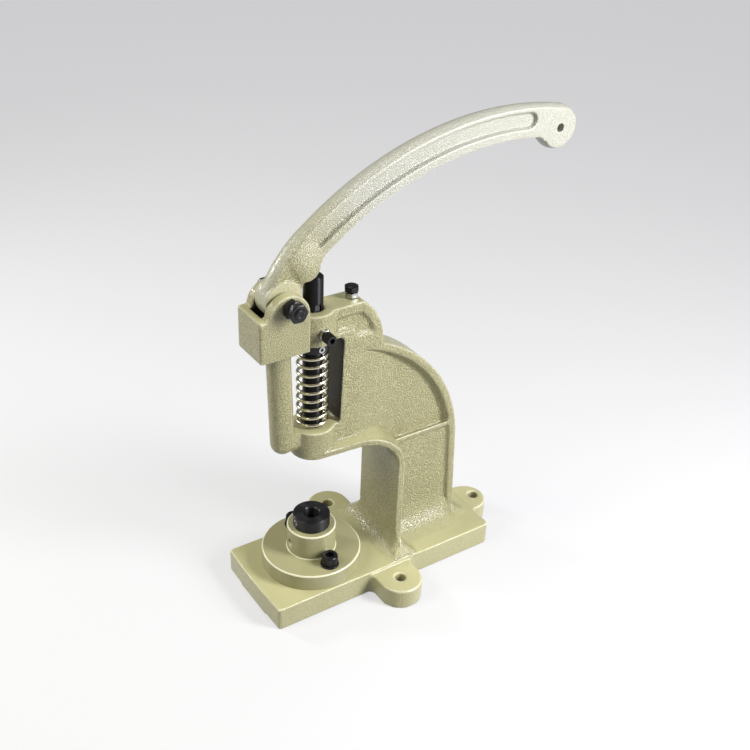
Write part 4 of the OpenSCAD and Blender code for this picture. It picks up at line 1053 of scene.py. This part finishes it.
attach(bolt_head, "press_frame")
pivot_nuts = {"pivot_nut": ("pivot_hex_nut", nut_low, nut_high, 30),
              "pivot_lock_nut": ("pivot_thin_nut", lock_low, lock_high, 0)}
for node, (piece, face, seat, degrees) in pivot_nuts.items():
    turn = Matrix.Rotation(math.radians(degrees), 4, "Z")
    nut = grown(piece, hexagons, {
        "Flats": bolt_flats, "Height": seat.y - face.y, "Bore radius": bolt_r, "Face share": nut_face},
        black_screw, Matrix.Translation((pivot[0], seat.y, pivot[2])) @ near_way @ turn)
    edges_broken(nut, edge_break)
    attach(nut, "press_frame")
    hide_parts(node)


# The stop bolt and its lock nut: a blackened hexagon bolt on top of the arm, screwed in to the height
# at which it stops the lever, and held there by a zinc-plated nut.

low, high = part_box("stop_bolt")
nut_low, nut_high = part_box("stop_lock_nut")
stop_x = (low.x + high.x) / 2
stop_flats = high.y - low.y
stop_r = 3 * mm
stop_face = 0.72
stop_shank = turned("stop_shank", [
    (0, low.z, 0), (stop_r, low.z, 0.5 * mm), (stop_r, nut_high.z, 0), (0, nut_high.z, 0)], sides=48)
stop_shank.data.transform(Matrix.Translation((stop_x, 0, 0)))
smooth_by_angle(stop_shank.data, turned_crease)
stop_shank.data.materials.append(black_screw)
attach(stop_shank, "press_frame")
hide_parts("stop_bolt")
stop_head = grown("stop_head", hexagons, {
    "Flats": stop_flats, "Height": high.z - nut_high.z, "Bore radius": centre_bore_r,
    "Face share": stop_face}, black_screw, Matrix.Translation((stop_x, 0, nut_high.z)))
edges_broken(stop_head, edge_break)
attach(stop_head, "press_frame")
stop_nut = grown("stop_nut", hexagons, {
    "Flats": nut_high.y - nut_low.y, "Height": nut_high.z - nut_low.z, "Bore radius": stop_r,
    "Face share": nut_face}, zinc, Matrix.Translation((stop_x, 0, nut_low.z)))
edges_broken(stop_nut, edge_break)
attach(stop_nut, "press_frame")
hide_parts("stop_lock_nut")


# The studio: a wide pale floor and five soft lamps. The key stands at the viewer's upper right, with a
# lower one beside it; weaker ones hang above, at the left, slightly warm, and behind at the left.
# The camera stands where the photograph was taken from.

floor_size = 6.0
floor_drop = 0.05 * mm
floor_glow = 0.6
floor_mesh = bpy.data.meshes.new("floor")
floor_mesh.from_pydata([(-floor_size, -floor_size, 0), (floor_size, -floor_size, 0),
                        (floor_size, floor_size, 0), (-floor_size, floor_size, 0)], [], [(0, 1, 2, 3)])
floor = bpy.data.objects.new("floor", floor_mesh)
scene.collection.objects.link(floor)
floor.location.z = -floor_drop
floor_finish, floor_tree, floor_shader = new_finish("pale floor", {
    "Base Color": (0.24, 0.24, 0.245, 1), "Roughness": 0.7})
seen_by = node_of(floor_tree, "ShaderNodeLightPath")
seen = sum_of(floor_tree, "MAXIMUM", seen_by.outputs["Is Camera Ray"], seen_by.outputs["Is Glossy Ray"])
seen = sum_of(floor_tree, "MAXIMUM", seen, seen_by.outputs["Is Transmission Ray"])
glow = node_of(floor_tree, "ShaderNodeEmission", {"Color": (0.9, 0.9, 0.92, 1)})
whole_floor = node_of(floor_tree, "ShaderNodeAddShader")
floor_tree.links.new(sum_of(floor_tree, "MULTIPLY", seen, floor_glow), glow.inputs["Strength"])
floor_tree.links.new(floor_shader.outputs["BSDF"], whole_floor.inputs[0])
floor_tree.links.new(glow.outputs["Emission"], whole_floor.inputs[1])
floor_tree.links.new(whole_floor.outputs["Shader"], floor_tree.nodes["Material Output"].inputs["Surface"])
floor.data.materials.append(floor_finish)

world = bpy.data.worlds.new("studio")
world.use_nodes = True
sky = world.node_tree.nodes["Background"]
sky.inputs["Color"].default_value = (0.97, 0.98, 1.0, 1)
sky.inputs["Strength"].default_value = 0.20
scene.world = world

aim = Vector((0.06, 0, 0.15))
daylight = (1.0, 1.0, 1.0)
warm = (1.0, 0.97, 0.76)
lamps = {"key": ((0.46, -0.58, 0.66), 0.26, 7.8, daylight),
         "top": ((0.0, 0.1, 0.95), 0.4, 1.4, daylight),
         "left": ((-0.9, 0.1, 0.95), 0.6, 9.2, warm),
         "rear": ((-0.44, 0.70, 0.50), 0.14, 3.6, daylight),
         "front": ((0.50, -0.72, 0.40), 0.28, 6.6, daylight)}
for name, (place, width, power, tint) in lamps.items():
    lamp = bpy.data.lights.new(name, "AREA")
    lamp.size = width
    lamp.energy = power
    lamp.color = tint
    holder = bpy.data.objects.new(name, lamp)
    holder.location = place
    holder.visible_camera = False
    holder.rotation_mode = "QUATERNION"
    holder.rotation_quaternion = (aim - Vector(place)).to_track_quat("-Z", "Y")
    scene.collection.objects.link(holder)

azimuth = math.radians(-34.812)
elevation = math.radians(31.488)
roll = math.radians(2.468)
focal_px = 1081.782
picture_px = 750
aside = -1.096 * mm
aloft = 40.975 * mm
distance = 867.485 * mm
target = Vector((0.060, 0, 0.130))
level = math.cos(elevation)
back = Vector((math.sin(azimuth) * level, -math.cos(azimuth) * level, math.sin(elevation)))
right = Vector((math.cos(azimuth), math.sin(azimuth), 0))
up = back.cross(right)
right_rolled = right * math.cos(roll) + up * math.sin(roll)
up_rolled = up * math.cos(roll) - right * math.sin(roll)
stand = target + right_rolled * aside + up_rolled * aloft + back * distance
camera = bpy.data.cameras.new("camera")
camera.sensor_width = 36
camera.lens = camera.sensor_width * focal_px / picture_px
viewer = bpy.data.objects.new("camera", camera)
facing_way = Matrix((right_rolled, up_rolled, back)).transposed().to_4x4()
viewer.matrix_world = Matrix.Translation(stand) @ facing_way
scene.collection.objects.link(viewer)
scene.camera = viewer
scene.view_settings.view_transform = "Standard"
